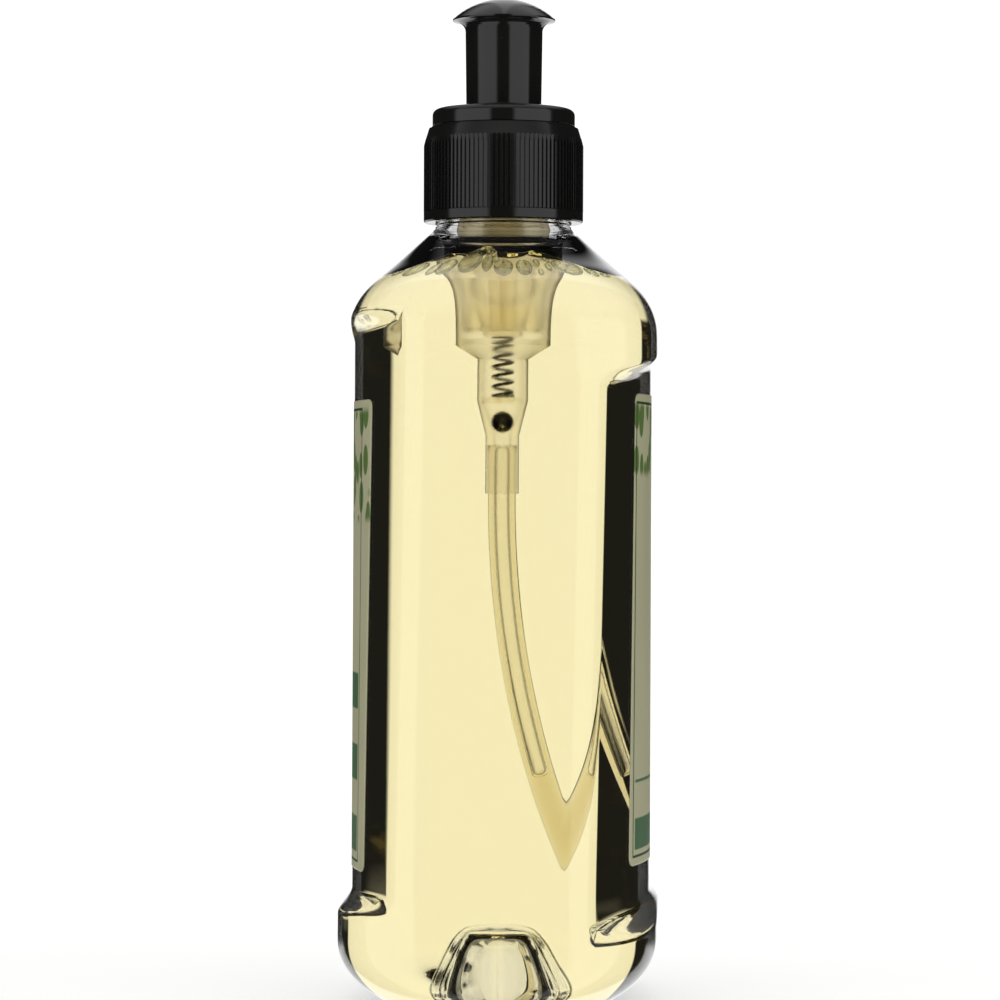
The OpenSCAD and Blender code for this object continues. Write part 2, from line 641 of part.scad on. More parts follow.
module stem() {
    color(milky) rotate_extrude() polygon([
        [stem_bore / 2, piston_top_z + 0.05], [stem_d / 2 + 0.9, piston_top_z + 0.05],
        [stem_d / 2 + 0.9, piston_top_z + stem_ring_h - 0.6], [stem_d / 2, piston_top_z + stem_ring_h],
        [stem_d / 2, stem_seat_z - 0.05], [stem_bore / 2, stem_seat_z - 0.05],
        [stem_bore / 2, outlet_seat_z + 1.6], [outlet_seat_r, outlet_seat_z],
        [outlet_seat_r, outlet_seat_z - 1], [stem_bore / 2, outlet_seat_z - 2]]);
}

// Height of a ball's middle above the narrow end of its cone
function ball_height(ball_r, floor_r, mouth_r, h) =
    let (half_angle = atan((mouth_r - floor_r) / h)) (ball_r / cos(half_angle) - floor_r) / tan(half_angle);
ball_gap = 0.1;

module outlet_ball() {
    color([0.75, 0.76, 0.78]) translate([0, 0, outlet_seat_z + ball_gap
        + ball_height(outlet_ball_d / 2, outlet_seat_r, stem_bore / 2, 1.6)])
        sphere(d = outlet_ball_d);
}

piston_bore_r = stem_bore / 2;
module piston() {
    r = chamber_bore / 2 - running_gap;
    color([0.9, 0.9, 0.87]) rotate_extrude() polygon([
        [piston_bore_r, piston_z + 0.6], [piston_bore_r + 1.6, piston_z + 0.6],
        [r - 1.6, piston_z + 2.4], [r - 0.6, piston_z], [r, piston_z + 0.5],
        [r - 0.7, piston_z + piston_h / 2], [r, piston_top_z - 0.5], [r - 0.6, piston_top_z],
        [r - 1.6, piston_top_z - 2.4], [piston_bore_r + 1.6, piston_top_z],
        [piston_bore_r, piston_top_z]]);
}

// Rod with four ribs that lets the liquid pass between them
module piston_rod() {
    rib_r_out = stem_bore / 2 - running_gap;
    tail = 6;
    foot = piston_z + 0.55;
    color(milky) union() {
        translate([0, 0, foot - 0.05]) linear_extrude(piston_h + tail)
            for (a = [0, 90]) rotate(a) square([2 * rib_r_out - 0.1, 1.1], center = true);
        translate([0, 0, foot - 1.4]) cylinder(r = piston_bore_r + 1.2, h = 1.4);
    }
}

// Spring, its seat and the inlet ball
spring_top_z = piston_z + 0.55 - 1.4 - 0.1;
seat_z = inlet_mouth_z;
seat_t = 1;
spring_bottom_z = seat_z + seat_t + 0.1;
coil_points = 14;
wire_sides = 6;

module spring() {
    r = (spring_d - wire_d) / 2;
    z0 = spring_bottom_z + wire_d / 2;
    travel = spring_top_z - spring_bottom_z - wire_d;
    steps = coils * coil_points;
    // The end coils lie flat, the others climb evenly
    climb = travel / (coils - 1.2);
    function height(turn) = z0 + climb * min(coils - 1.2, max(0, turn - 0.6));
    rings = [for (i = [0:steps]) let (turn = i / coil_points, a = 360 * turn)
        [for (w = [0:wire_sides - 1]) let (b = 360 * w / wire_sides, q = r + wire_d / 2 * cos(b))
            [q * cos(a), q * sin(a), height(turn) + wire_d / 2 * sin(b)]]];
    color([0.7, 0.7, 0.72]) polyhedron(
        points = [for (ring = rings) each ring],
        faces = concat(
            [for (i = [0:steps - 1], w = [0:wire_sides - 1])
                let (a = i * wire_sides + w, b = i * wire_sides + (w + 1) % wire_sides,
                    c = a + wire_sides, d = b + wire_sides)
                each [[a, c, b], [b, c, d]]],
            [[for (w = [0:wire_sides - 1]) w],
                [for (w = [0:wire_sides - 1]) steps * wire_sides + wire_sides - 1 - w]]),
        convexity = 10);
}

module spring_seat() {
    color([0.9, 0.9, 0.87]) translate([0, 0, seat_z]) difference() {
        cylinder(r = cup_bore_r - 0.03, h = seat_t);
        for (a = [0:120:240]) rotate(a) translate([1.5, 0, -1]) cylinder(r = 0.75, h = seat_t + 2);
    }
}

module inlet_ball() {
    color([0.75, 0.76, 0.78]) translate([0, 0, inlet_floor_z + ball_gap
        + ball_height(inlet_ball_d / 2, inlet_floor_r, cup_bore_r, inlet_mouth_z - inlet_floor_z)])
        sphere(d = inlet_ball_d);
}

bottle();
liquid_soap();
front_label();
back_label();
collar();
chaplet();
head();
stem();
gasket();
housing();
piston();
piston_rod();
outlet_ball();
spring();
spring_seat();
inlet_ball();
dip_tube();
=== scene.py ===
# %% [markdown]
# # A filled bottle of liquid soap with a locked pump
# This lesson builds the looks of a clear bottle round a part that was made in CAD.
# The CAD part is loaded as a fixed frame. It says where every piece is and how it moves.
# Pieces that need a finer skin are modelled again here and ride on the same bodies.
# Lengths are written in millimetres and turned into metres when a mesh is made.

# %% Load the frame
import math
import random

import bpy
import numpy as np
from mathutils import Euler, Matrix, Vector


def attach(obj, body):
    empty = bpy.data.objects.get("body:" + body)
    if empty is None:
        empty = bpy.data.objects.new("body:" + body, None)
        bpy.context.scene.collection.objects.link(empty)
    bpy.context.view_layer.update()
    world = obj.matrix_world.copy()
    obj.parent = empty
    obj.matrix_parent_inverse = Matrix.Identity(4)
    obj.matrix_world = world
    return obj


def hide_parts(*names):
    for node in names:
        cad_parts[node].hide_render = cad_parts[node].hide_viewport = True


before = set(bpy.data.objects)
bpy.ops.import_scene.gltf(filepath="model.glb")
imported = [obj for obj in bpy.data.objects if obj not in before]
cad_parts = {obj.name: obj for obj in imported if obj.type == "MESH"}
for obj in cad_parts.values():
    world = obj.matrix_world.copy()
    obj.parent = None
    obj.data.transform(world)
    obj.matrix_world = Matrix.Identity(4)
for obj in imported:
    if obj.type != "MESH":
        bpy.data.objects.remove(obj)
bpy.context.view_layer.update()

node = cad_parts

# %% [markdown]
# ## Meshes from rows of points
# Nearly every piece is a grid: rings of points, joined by four-sided faces.
# A lathed piece has round rings, a tube has rings along a path, and the bottle has its own section.
# One function turns such a grid into an object, so each piece is only a way to place points.

# %% Grid and lathe
MM = 1000  # millimetres in a metre


def new_object(name, points, faces, body):
    """A smooth-shaded mesh from points in millimetres, which rides on a body of the frame."""
    mesh = bpy.data.meshes.new(name)
    mesh.from_pydata((np.asarray(points, float) / MM).tolist(), [], faces)
    mesh.validate()
    mesh.polygons.foreach_set("use_smooth", [True] * len(mesh.polygons))
    made = bpy.data.objects.new(name, mesh)
    bpy.context.scene.collection.objects.link(made)
    if body:
        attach(made, body)
    return made


def grid(name, rings, body, cap_start=None, cap_end=None):
    """A mesh from an array of (rows, sides, 3).

    Faces look to the right of the way the rows run. A cap is a point, or True for a flat face."""
    rows, sides = rings.shape[:2]
    points = [tuple(p) for p in rings.reshape(-1, 3)]
    faces = []
    for k in range(rows - 1):
        a, b = k * sides, (k + 1) * sides
        faces += [(a + j, a + (j + 1) % sides, b + (j + 1) % sides, b + j) for j in range(sides)]
    for cap, row, turn in ((cap_start, 0, 1), (cap_end, rows - 1, -1)):
        ring = list(range(row * sides, row * sides + sides))
        if cap is True:
            faces.append(tuple(ring[::-turn]))
        elif cap is not None:
            points.append(tuple(cap))
            centre = len(points) - 1
            faces += [(centre, ring[(j + 1) % sides], ring[j])[::turn] for j in range(sides)]
    return new_object(name, points, faces, body)


def lathe_rings(profile, sides=96):
    turn = np.linspace(0, 2 * np.pi, sides, endpoint=False)
    r, z = np.array(profile, float).T
    return np.stack([np.outer(r, np.cos(turn)), np.outer(r, np.sin(turn)), np.outer(z, np.ones(sides))], -1)


print("a round ring has", lathe_rings([(1, 0)]).shape[1], "points")

# %% [markdown]
# ## The way of the dip tube
# The real tube is cut a little too long for the straight way down, so it bends to one side of the foot.
# A curve object could be bent by hand. Here a straight piece in the socket and an arc of a circle describe
# the way, because the tube and the air in it can then both be found from a distance along it.

# %% Way of the tube
BEND_R, BEND, SOCKET_Z, TUBE_TOP, TUBE_R = 138, math.radians(41), 103.8, 113.5, 2.75
BEND_TO = math.radians(50)
BEND_WAY = np.array([math.cos(BEND_TO), math.sin(BEND_TO), 0])


def tube_point(s):
    """Place and direction at a distance s below the tube's upper end."""
    straight = TUBE_TOP - SOCKET_Z
    if s <= straight:
        return np.array([0, 0, TUBE_TOP - s]), np.array([0, 0, -1.0])
    a = (s - straight) / BEND_R
    return (BEND_WAY * BEND_R * (1 - math.cos(a)) + [0, 0, SOCKET_Z - BEND_R * math.sin(a)],
            BEND_WAY * math.sin(a) - [0, 0, math.cos(a)])


def swept_rings(stations, sides=40):
    """stations: (distance below the tube's top, radius)"""
    turn = np.linspace(0, 2 * np.pi, sides, endpoint=False)
    rings = []
    for s, r in stations:
        p, d = tube_point(s)
        across = np.cross([0, 0, 1], BEND_WAY)
        rings.append(p + r * (np.outer(np.cos(turn), np.cross(across, d)) - np.outer(np.sin(turn), across)))
    return np.array(rings)


print("tube ends at", np.round(tube_point(TUBE_TOP - SOCKET_Z + BEND_R * BEND)[0], 1))

# %% [markdown]
# ## The blown shell as a formula
# The real body is blown: a narrow foot, a bumper, a slightly tapering wall, a round shoulder and a cone.
# It could be sculpted or cut from blocks. A formula gives its section at each height instead, because a clear
# body shows every facet, and a formula can be sampled as finely as the light asks for.
# The section is a superellipse, which is an ellipse with squarer corners, and it is rounder at the neck.
# The main sizes are those of the CAD part.

# %% Sizes of the body
BUMPER_W, SHOULDER_W, BODY_D, FOOT_W = 64.8, 63, 86, 40
BUMPER_Z, SHOULDER_Z, SHOULDER_R, SLOPE = 15.5, 135.5, 15, math.radians(47.8)
SQUARE, WALL, PANEL_W, PILLAR_W = 4, 0.8, 61.2, 41.14
PANEL_Z0, PANEL_Z1, LIP_H = 21.4, 132.4, 4.4
PUSH_H, PETALS = 15.6, 8
TURN_H = SHOULDER_R * math.sin(SLOPE)
LEVEL = SHOULDER_Z + TURN_H - 0.3
TURN_X = SHOULDER_W / 2 - SHOULDER_R * (1 - math.cos(SLOPE))
BEAD_R = 13.9
NECK_Z = SHOULDER_Z + TURN_H + (TURN_X - BEAD_R + 0.25) / math.tan(SLOPE)
DEPTH = BODY_D / BUMPER_W
EDGE_Y = BODY_D / 2 * (1 - (PILLAR_W / BUMPER_W) ** SQUARE) ** (1 / SQUARE)
EDGE = math.atan2(EDGE_Y, PILLAR_W / 2)


FLAT_X, CORNER_R = 14.15, 7.34


def pillar_drop(x):
    """A pillar is nearly flat and turns into the panel with a round corner."""
    u = np.clip(x - FLAT_X, 0, 6.42)
    return np.minimum(x, FLAT_X) ** 2 / 800 + CORNER_R - np.sqrt(CORNER_R**2 - u**2)


PANEL_EDGE_Y = BODY_D / 2 - float(pillar_drop(PILLAR_W / 2))
CREST = (PANEL_W - PILLAR_W) / 2
PANEL_R = (CREST**2 + PANEL_EDGE_Y**2) / (2 * CREST)
print("pillars begin at", round(math.degrees(EDGE), 1), "degrees, panels bulge with radius", round(PANEL_R, 1))

# %% [markdown]
# ## Width and depth at each height
# From the narrow side the shoulder turns into a cone of 48 degrees. From the broad side the same turn goes on
# further, because the front has more way to go to the neck. The CAD part has one slope all round, so the
# front shoulder stands out from it by up to 3.3 mm here. The pump looks straight through this steeper front.

# %% Width and depth
def mix(a, b, t):
    return a + (b - a) * t


def smooth(t):
    t = np.clip(t, 0, 1)
    return t * t * (3 - 2 * t)


def half_width(z):
    """Half the body's width at a height z."""
    low = BUMPER_W / 2 - (BUMPER_W - FOOT_W) / 2 * np.clip((BUMPER_Z - z) / BUMPER_Z, 0, 1) ** 2.4
    mid = mix(BUMPER_W / 2, SHOULDER_W / 2, (z - BUMPER_Z) / (SHOULDER_Z - BUMPER_Z))
    turn = SHOULDER_W / 2 - SHOULDER_R + np.sqrt(np.clip(SHOULDER_R**2 - (z - SHOULDER_Z) ** 2, 0, None))
    cone = TURN_X - (z - SHOULDER_Z - TURN_H) * math.tan(SLOPE)
    return np.select([z <= BUMPER_Z, z <= SHOULDER_Z, z <= SHOULDER_Z + TURN_H], [low, mid, turn], cone)


SHOULDER_D = BODY_D * SHOULDER_W / BUMPER_W


def front_slope():
    """The slope at which the front's cone, after the same turn, meets the neck."""
    low, high = math.radians(40), math.radians(80)
    for _ in range(40):
        a = (low + high) / 2
        left = SHOULDER_D / 2 - SHOULDER_R * (1 - math.cos(a)) - BEAD_R + 0.25
        low, high = (a, high) if (NECK_Z - SHOULDER_Z - SHOULDER_R * math.sin(a)) * math.tan(a) < left else (low, a)
    return a


FRONT_SLOPE = front_slope()


def half_depth(z):
    """Half the body's depth at a height z. The shoulder's turn goes on further than at the sides."""
    start = SHOULDER_D / 2
    turn = start - SHOULDER_R + np.sqrt(np.clip(SHOULDER_R**2 - (z - SHOULDER_Z) ** 2, 0, None))
    end = SHOULDER_Z + SHOULDER_R * math.sin(FRONT_SLOPE)
    cone = start - SHOULDER_R * (1 - math.cos(FRONT_SLOPE)) - (z - end) * math.tan(FRONT_SLOPE)
    # The front stays upright lower down than the sides do
    foot = BODY_D / 2 - (BODY_D - FOOT_W * DEPTH) / 2 * np.clip((BUMPER_Z - z) / BUMPER_Z, 0, 1) ** 6
    return np.select([z <= BUMPER_Z, z <= SHOULDER_Z, z <= end], [foot, half_width(z) * DEPTH, turn], cone)


print("front cone in degrees:", round(math.degrees(FRONT_SLOPE), 1), "neck starts at", round(NECK_Z, 2))

# %% [markdown]
# ## Squareness and twist
# The section is square in the wall and round at the neck, so its squareness changes with the height.
# In the photograph the pillar and the panels lean a little, as on a body that turns on its way up. So every
# point is turned by up to a degree and a half to either side. The CAD part has no twist.

# %% Squareness and twist
def twist(p):
    """The body's features turn by a degree and a half to either side on their way up."""
    a = math.radians(1.5) * np.clip((p[..., 2] - 77) / 52, -1, 1)
    x, y = p[..., 0] * 0.9915, p[..., 1] * 0.9965
    return np.stack([x * np.cos(a) - y * np.sin(a), x * np.sin(a) + y * np.cos(a), p[..., 2]], -1)


def power_at(z):
    return np.where(z < SHOULDER_Z, mix(2.6, SQUARE, smooth(z / BUMPER_Z)),
                    mix(SQUARE, 2, smooth((z - SHOULDER_Z) / (NECK_Z - SHOULDER_Z) / 0.825)))


def section_r(angle, hx, hy, p):
    return (np.abs(np.cos(angle) / hx) ** p + np.abs(np.sin(angle) / hy) ** p) ** (-1 / p)


print("squareness at foot, wall and neck:", np.round(power_at(np.array([0, 70, NECK_Z])), 2))

# %% [markdown]
# ## Panels and slanting lips
# A panel is pressed in on each side for its label, and a lip runs round it above and below.
# The lips could be cut with booleans. Here every row of the grid follows the lips as it passes them, so that
# the crease lies along a row and stays clean. Their course follows the photograph more closely than the CAD
# part's, and differs from it by up to 4.8 mm.

# %% Lips
def slant(angle):
    """Runs from -1 to 1 across a panel, and back across the pillar beside it."""
    a = (angle + EDGE) % np.pi - EDGE
    return np.where(a <= EDGE, a / EDGE, mix(1, -1, (a - EDGE) / (np.pi - 2 * EDGE)))


def top_lip(angle):
    s = slant(angle)
    front = smooth(0.5 - 0.5 * np.cos(angle) / math.cos(EDGE))
    return np.where(s < 0, 5.8, 3.1) * s + 3.8 * front


def bottom_lip(angle):
    s = slant(angle)
    return 2.6 * s - 1.1 * s * s


def panel_x(y):
    return PANEL_W / 2 - PANEL_R + np.sqrt(PANEL_R**2 - y * y)


# How far the rows follow the lower and the upper lip, at key heights
KEYS = np.array([
    (0.9, 0, 0), (2.6, 0, 0), (5, 0, 0), (7.6, 0.12, 0), (10.2, 0.35, 0), (12.8, 0.5, 0), (15.5, 0.65, 0),
    (18.1, 0.85, 0), (19.2, 1, 0), (23.6, 1, 0), (28, 0.25, 0), (70, 0, 0), (118, 0, 0.1),
    (130.2, 0, 1), (134.6, 0, 1), (137.5, 0, 0.7), (139.9, 0, 0.42), (142.5, 0, 0.22),
    (144.7, 0, 0.1), (146.6, 0, 0), (NECK_Z, 0, 0)])


print("lips move by", round(float(np.ptp(top_lip(np.linspace(0, 2 * np.pi, 361)))), 1), "mm above and",
      round(float(np.ptp(bottom_lip(np.linspace(0, 2 * np.pi, 361)))), 1), "mm below")


# %% One row of the wall
def wall_row(z0, angle):
    """A ring of points that starts from the height z0 and rises or falls with the lips near it."""
    low, top = bottom_lip(angle), top_lip(angle)
    z = z0 + np.interp(z0, KEYS[:, 0], KEYS[:, 1]) * low + np.interp(z0, KEYS[:, 0], KEYS[:, 2]) * top
    hx = half_width(z)
    hy = half_depth(z)
    r = section_r(angle, hx, hy, power_at(z))
    x, y = np.abs(r * np.cos(angle)), np.abs(r * np.sin(angle))
    edge_r = section_r(EDGE, hx, hy, power_at(z))
    on_pillar = np.abs(np.cos(angle)) < math.cos(EDGE) - 1e-9
    x_flat = x * PILLAR_W / 2 / (edge_r * math.cos(EDGE))
    x_edge = edge_r * math.cos(EDGE)
    y_round = np.where(on_pillar, (1 - pillar_drop(np.minimum(x_flat, PILLAR_W / 2)) / (BODY_D / 2)) * hy,
                       y * PANEL_EDGE_Y / EDGE_Y)
    y_panel = np.minimum(y_round * BODY_D / 2 / hy, PANEL_EDGE_Y)
    pressed = np.where(on_pillar, x_flat, np.minimum(x + PILLAR_W / 2 - x_edge, panel_x(y_panel)))
    depth = smooth((z - PANEL_Z0 - low) / LIP_H + 0.5) * smooth((PANEL_Z1 + top - z) / LIP_H + 0.5)
    # The pillar's round corner fades slowly into the bumpers, but keeps step with the panel at its edge
    wide = smooth((z - 8) / 18) * smooth((PANEL_Z1 + top + 11 - z) / 16)
    beside = smooth((np.minimum(x_flat, PILLAR_W / 2) - 13) / (PILLAR_W / 2 - 13))
    turn_in = np.where(on_pillar, mix(wide, depth, beside), depth)
    x_out, y_out = mix(x, pressed, depth), mix(y, y_round, turn_in)
    return twist(np.stack([np.sign(np.cos(angle)) * x_out, np.sign(np.sin(angle)) * y_out, z], -1))


print("points of a row at 70 mm:", np.round(wall_row(70, np.array([0, EDGE, np.pi / 2])), 1).tolist())

# %% [markdown]
# ## A grid that is dense where the light bends
# An even grid would spend its faces on flat walls. The points crowd at the pillars' edges, and the rows
# crowd at the lips and in the shoulder.

# %% Angles and heights of the grid
def clustered(a, b, n):
    t = np.arange(n) / n
    return mix(a, b, t - 0.55 * np.sin(2 * np.pi * t) / (2 * np.pi))


ANGLES = np.concatenate([np.concatenate([
    side + clustered(-EDGE, EDGE, 64), side + clustered(EDGE, np.pi - EDGE, 56)]) for side in (0, np.pi)])
SIDES = len(ANGLES)


def spans(*stops):
    """Values through pairs of (stop, number of steps to the next)."""
    out = []
    for (a, n), (b, _) in zip(stops, stops[1:]):
        out += [mix(a, b, i / n) for i in range(n)]
    return out + [stops[-1][0]]


WALL_Z = spans((0.9, 20), (15.5, 5), (18.6, 12), (24.2, 6), (28, 12), (70, 12), (118, 9), (129.6, 14),
               (135.2, 14), (146.6, 8), (150.6, 10), (NECK_Z - 0.3, 1))
print("grid:", SIDES, "points round and", len(WALL_Z), "rows up the wall")

# %% [markdown]
# ## The underside
# Under the bottle is a push-up, a hollow that is pressed up into it, inside a narrow standing ring.
# It could be a separate dent. Its rings join the wall's rings here, so that the skin stays in one piece.
# A few key points give its outline, a smooth curve fills in the rest, and eight shallow petals wave round it.

# %% Underside
def smooth_line(keys, steps):
    """A curve through key points, with a few points between each pair."""
    keys = np.array(keys, float)
    p = np.array([2 * keys[0] - keys[1], *keys, 2 * keys[-1] - keys[-2]])
    out = []
    for a, b, c, d in zip(p, p[1:], p[2:], p[3:]):
        for t in np.arange(steps) / steps:
            square, cube = 2 * a - 5 * b + 4 * c - d, 3 * b - a - 3 * c + d
            out.append(0.5 * (2 * b + (c - a) * t + square * t**2 + cube * t**3))
    return np.array(out + [p[-2]])


# Radius, height and depth of the petals
base_keys = [(0.7, PUSH_H, 0), (2.6, PUSH_H - 0.02, 0.01), (5.4, 15.4, 0.01), (6.9, 14.6, 0.014),
             (8.0, 13.2, 0.02), (9.0, 11.4, 0.02), (9.9, 9.4, 0.02), (10.8, 7.2, 0.02),
             (11.8, 4.8, 0.015), (12.9, 2.6, 0.005), (14.2, 0.9, 0)]
foot_hw = float(half_width(np.array(0.9)))
base_keys += [(15, 0.35, 0), (15.9, 0.02, 0), (17, 0, 0), (18.1, 0.02, 0), (mix(18.1, foot_hw, 0.6), 0.28, 0)]
base_rows = []
for r, z, petal in smooth_line(base_keys, 3):
    ring = section_r(ANGLES, r, r * mix(1.1, DEPTH, smooth((r - 9) / 8)), 2.2) * (1 + petal * np.cos(PETALS * ANGLES))
    base_rows.append(np.stack([ring * np.cos(ANGLES), ring * np.sin(ANGLES), np.full(SIDES, max(z, 0.0))], -1))
outside = np.array(base_rows + [wall_row(z, ANGLES) for z in WALL_Z])
print("underside rows:", len(base_rows), "rows in all:", len(outside))

# %% [markdown]
# ## The thickness of the wall
# A solidify modifier gives one thickness everywhere. Blown walls are thin in the body and thick in the foot
# and towards the neck, and a clear bottle shows that. So each point is moved inwards along its own normal.

# %% Inside skin
around = np.roll(outside, -1, 1) - np.roll(outside, 1, 1)
up = np.gradient(outside, axis=0)
normal = np.cross(around, up)
normal /= np.linalg.norm(normal, axis=-1, keepdims=True)
z_out = outside[..., 2:]
row = np.arange(len(outside))[:, None, None]
in_base = smooth((len(base_rows) + 6 - row) / 8)
thick = WALL + 1.75 * smooth((z_out - 145.5) / 12) ** 1.3 + 0.25 * in_base
inside = outside - thick * normal
print("wall in mm: from", round(float(thick.min()), 2), "to", round(float(thick.max()), 2))

# %% [markdown]
# ## The neck and the thread
# The neck has three fine ridges under the closure, then a thread of about two and a half turns with a
# 4.23 mm lead, the rim and the bore. A thread is often swept along a helix and joined to the neck.
# Here it is a bump in the grid itself: each point moves out by how near it is to the helix.

# %% Neck, and the whole bottle
NECK = [(13.95, 158.15), (13.95, 158.35), (13.6, 158.5), (13.6, 158.7), (13.95, 158.85), (13.95, 159.0),
        (13.6, 159.15), (13.6, 159.35), (13.9, 159.5), (13.9, 159.65), (13.1, 159.8), (13.0, 160.5), (12.6, 160.95)]
NECK += [(12.55, z) for z in np.arange(161.2, 174.7, 0.3)] + [(12.5, 174.95), (12.3, 175.2), (12.05, 175.33)]
NECK += [(11.1, 175.33), (10.9, 175.2), (10.8, 175.0), (10.8, 170), (10.8, 162), (10.85, 158.4), (11.0, 157.4)]
THREAD_Z, LEAD, THREAD_H = 162.2, 4.233, 1.15
neck_rows = []
for r, z in NECK:
    turns = (z - THREAD_Z) / LEAD - ANGLES / (2 * np.pi)
    reach = THREAD_Z + (np.round(turns) + ANGLES / (2 * np.pi)) * LEAD
    live = smooth((reach - 161.5) / 1) * smooth((172.4 - reach) / 1)
    bump = 0 * ANGLES
    if r > 12 and 161 < z < 174.8:
        bump = THREAD_H * live * smooth(1.55 - np.abs(z - reach) / 0.85)
    neck_rows.append(np.stack([(r + bump) * np.cos(ANGLES), (r + bump) * np.sin(ANGLES), np.full(SIDES, z)], -1))
rings = np.concatenate([outside, neck_rows, inside[::-1]])
bottle = grid("bottle_shell", rings, "bottle", cap_start=(0, 0, PUSH_H), cap_end=(0, 0, PUSH_H + 1.05))
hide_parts("bottle")
print("bottle faces:", len(bottle.data.polygons), "least z", outside[..., 2].min())

# %% [markdown]
# ## The liquid
# Clear solids that touch need care. With a gap the wall would shine like an empty one,
# so the liquid's skin lies 0.1 mm inside the plastic of the wall: a ray then meets plastic, liquid and
# the end of the plastic in turn, and the bends add up to the true one.
# Under froth the liquid is drawn up between the bubbles and the wall. So its edge climbs by up to 5.6 mm
# at the near wall, and by one or two millimetres at the far one.

# %% Edge of the liquid
OVERLAP = 0.1
wet = inside + OVERLAP * normal
# Height of the edge above the level against x along the near wall
CLIMB = np.array([(-23.5, 0.5), (-20.5, 1.4), (-16.6, 3.4), (-14, 4.2), (-9, 4.0), (-7, 4.8), (-4.6, 5.6), (-2.4, 5.4),
                  (-1, 4.5), (3, 4.2), (6.6, 4.3), (9.5, 4.8), (12.5, 4.2), (15.5, 3.3), (19.5, 1.4), (23, 0.4)])


def climb(p):
    """How far the liquid stands above its level at a place on the wall."""
    near = np.interp(p[..., 0], CLIMB[:, 0], CLIMB[:, 1])
    a = np.arctan2(p[..., 1], p[..., 0])
    far = 1.5 + 0.5 * np.sin(5 * a + 1) + 0.35 * np.sin(11 * a) + 0.25 * np.sin(23 * a + 2)
    return mix(near, far, smooth((p[..., 1] + 6) / 10))


contact = np.zeros((SIDES, 3))
for j in range(SIDES):
    z_up = wet[:, j, 2]
    top = np.argmax(z_up > LEVEL - 0.5)
    goal = LEVEL + climb(wet[top, j])
    contact[j] = [np.interp(goal, z_up[top - 1:], wet[top - 1:, j, c]) for c in range(3)]
print("edge of the liquid: from", round(contact[:, 2].min(), 1), "to", round(contact[:, 2].max(), 1), "mm")

# %% [markdown]
# ## The body of the liquid
# Up to the level the liquid's skin is the wall's own rows. From the edge on the wall, rings run inwards
# and flatten out, so that the surface curves as a wetting liquid's does.

# %% Liquid
side = wet[wet[:, :, 2].max(1) < LEVEL - 0.2]
climb_rows = []
for t in (0.25, 0.5, 0.75):
    row_t = np.zeros((SIDES, 3))
    for j in range(SIDES):
        z_up = wet[:, j, 2]
        goal = mix(side[-1, j, 2], contact[j, 2], t)
        row_t[j] = [np.interp(goal, z_up[len(side) - 1:], wet[len(side) - 1:, j, c]) for c in range(3)]
    climb_rows.append(row_t)
top_rows = climb_rows + [contact]
radius = np.hypot(contact[:, 0], contact[:, 1])
height = contact[:, 2] - LEVEL
for d in (0.3, 0.8, 1.5, 2.3, 3.2, 4.2, 5.5, 8, 12):
    rise = height * (1 - smooth((d - 0.2) / 5.0))
    shrink = (1 - d / radius)[:, None]
    top_rows.append(contact * [1, 1, 0] * shrink + np.stack([0 * rise, 0 * rise, LEVEL + rise], -1))
liquid = grid("liquid", np.concatenate([side, top_rows]), "bottle",
              cap_start=(0, 0, PUSH_H + 0.95), cap_end=(0, 0, LEVEL))
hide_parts("liquid_soap")
print("liquid faces:", len(liquid.data.polygons))

# %% [markdown]
# ## The froth
# Froth lies under the shoulder as a string of flat bubbles that cling to the near wall, with small round
# ones along the rest of the edge. Bubbles above the liquid would hide behind the mirror of the cone, so they
# sit inside the liquid that climbs the wall. All are one mesh, and its material stands for air in liquid.
# The places of the flat ones are chosen, and the small ones come from a seeded generator.

# %% Helpers for bubbles
def ball_points(centre, radii, steps=14):
    """Rows of points on a ball or an egg, from the south pole to the north pole."""
    lat = np.linspace(-np.pi / 2, np.pi / 2, steps)
    turn = np.linspace(0, 2 * np.pi, 2 * steps, endpoint=False)
    p = np.stack([np.outer(np.cos(lat), np.cos(turn)), np.outer(np.cos(lat), np.sin(turn)),
                  np.outer(np.sin(lat), np.ones(2 * steps))], -1)
    return p * radii + centre


UNDER_SHOULDER = 120  # no flat bubble sits lower than this row of the wall


def on_wall(x, up, w, h, deep=0.8):
    """A flat bubble that clings to the sloping near wall; w and h are its half width and half height as seen."""
    k = np.argmin(np.abs(wet[UNDER_SHOULDER:, :, 2] - LEVEL - up), 0) + UNDER_SHOULDER
    at, way = wet[k, np.arange(SIDES)], normal[k, np.arange(SIDES)]
    j = int(np.argmin(np.abs(at[:, 0] - x) + 100 * (at[:, 1] > 0)))
    n = way[j]
    across = np.cross(n, [0, 0, 1.0])
    across /= np.linalg.norm(across)
    slope = np.cross(across, n)
    ball = ball_points(np.zeros(3), np.array([w, h / max(0.3, abs(slope[2])), deep]))
    return at[j] - n * (deep + 0.08) + ball @ np.array([across, slope, n])


print("rows and points round in a bubble:", ball_points(np.zeros(3), 1).shape[:2])

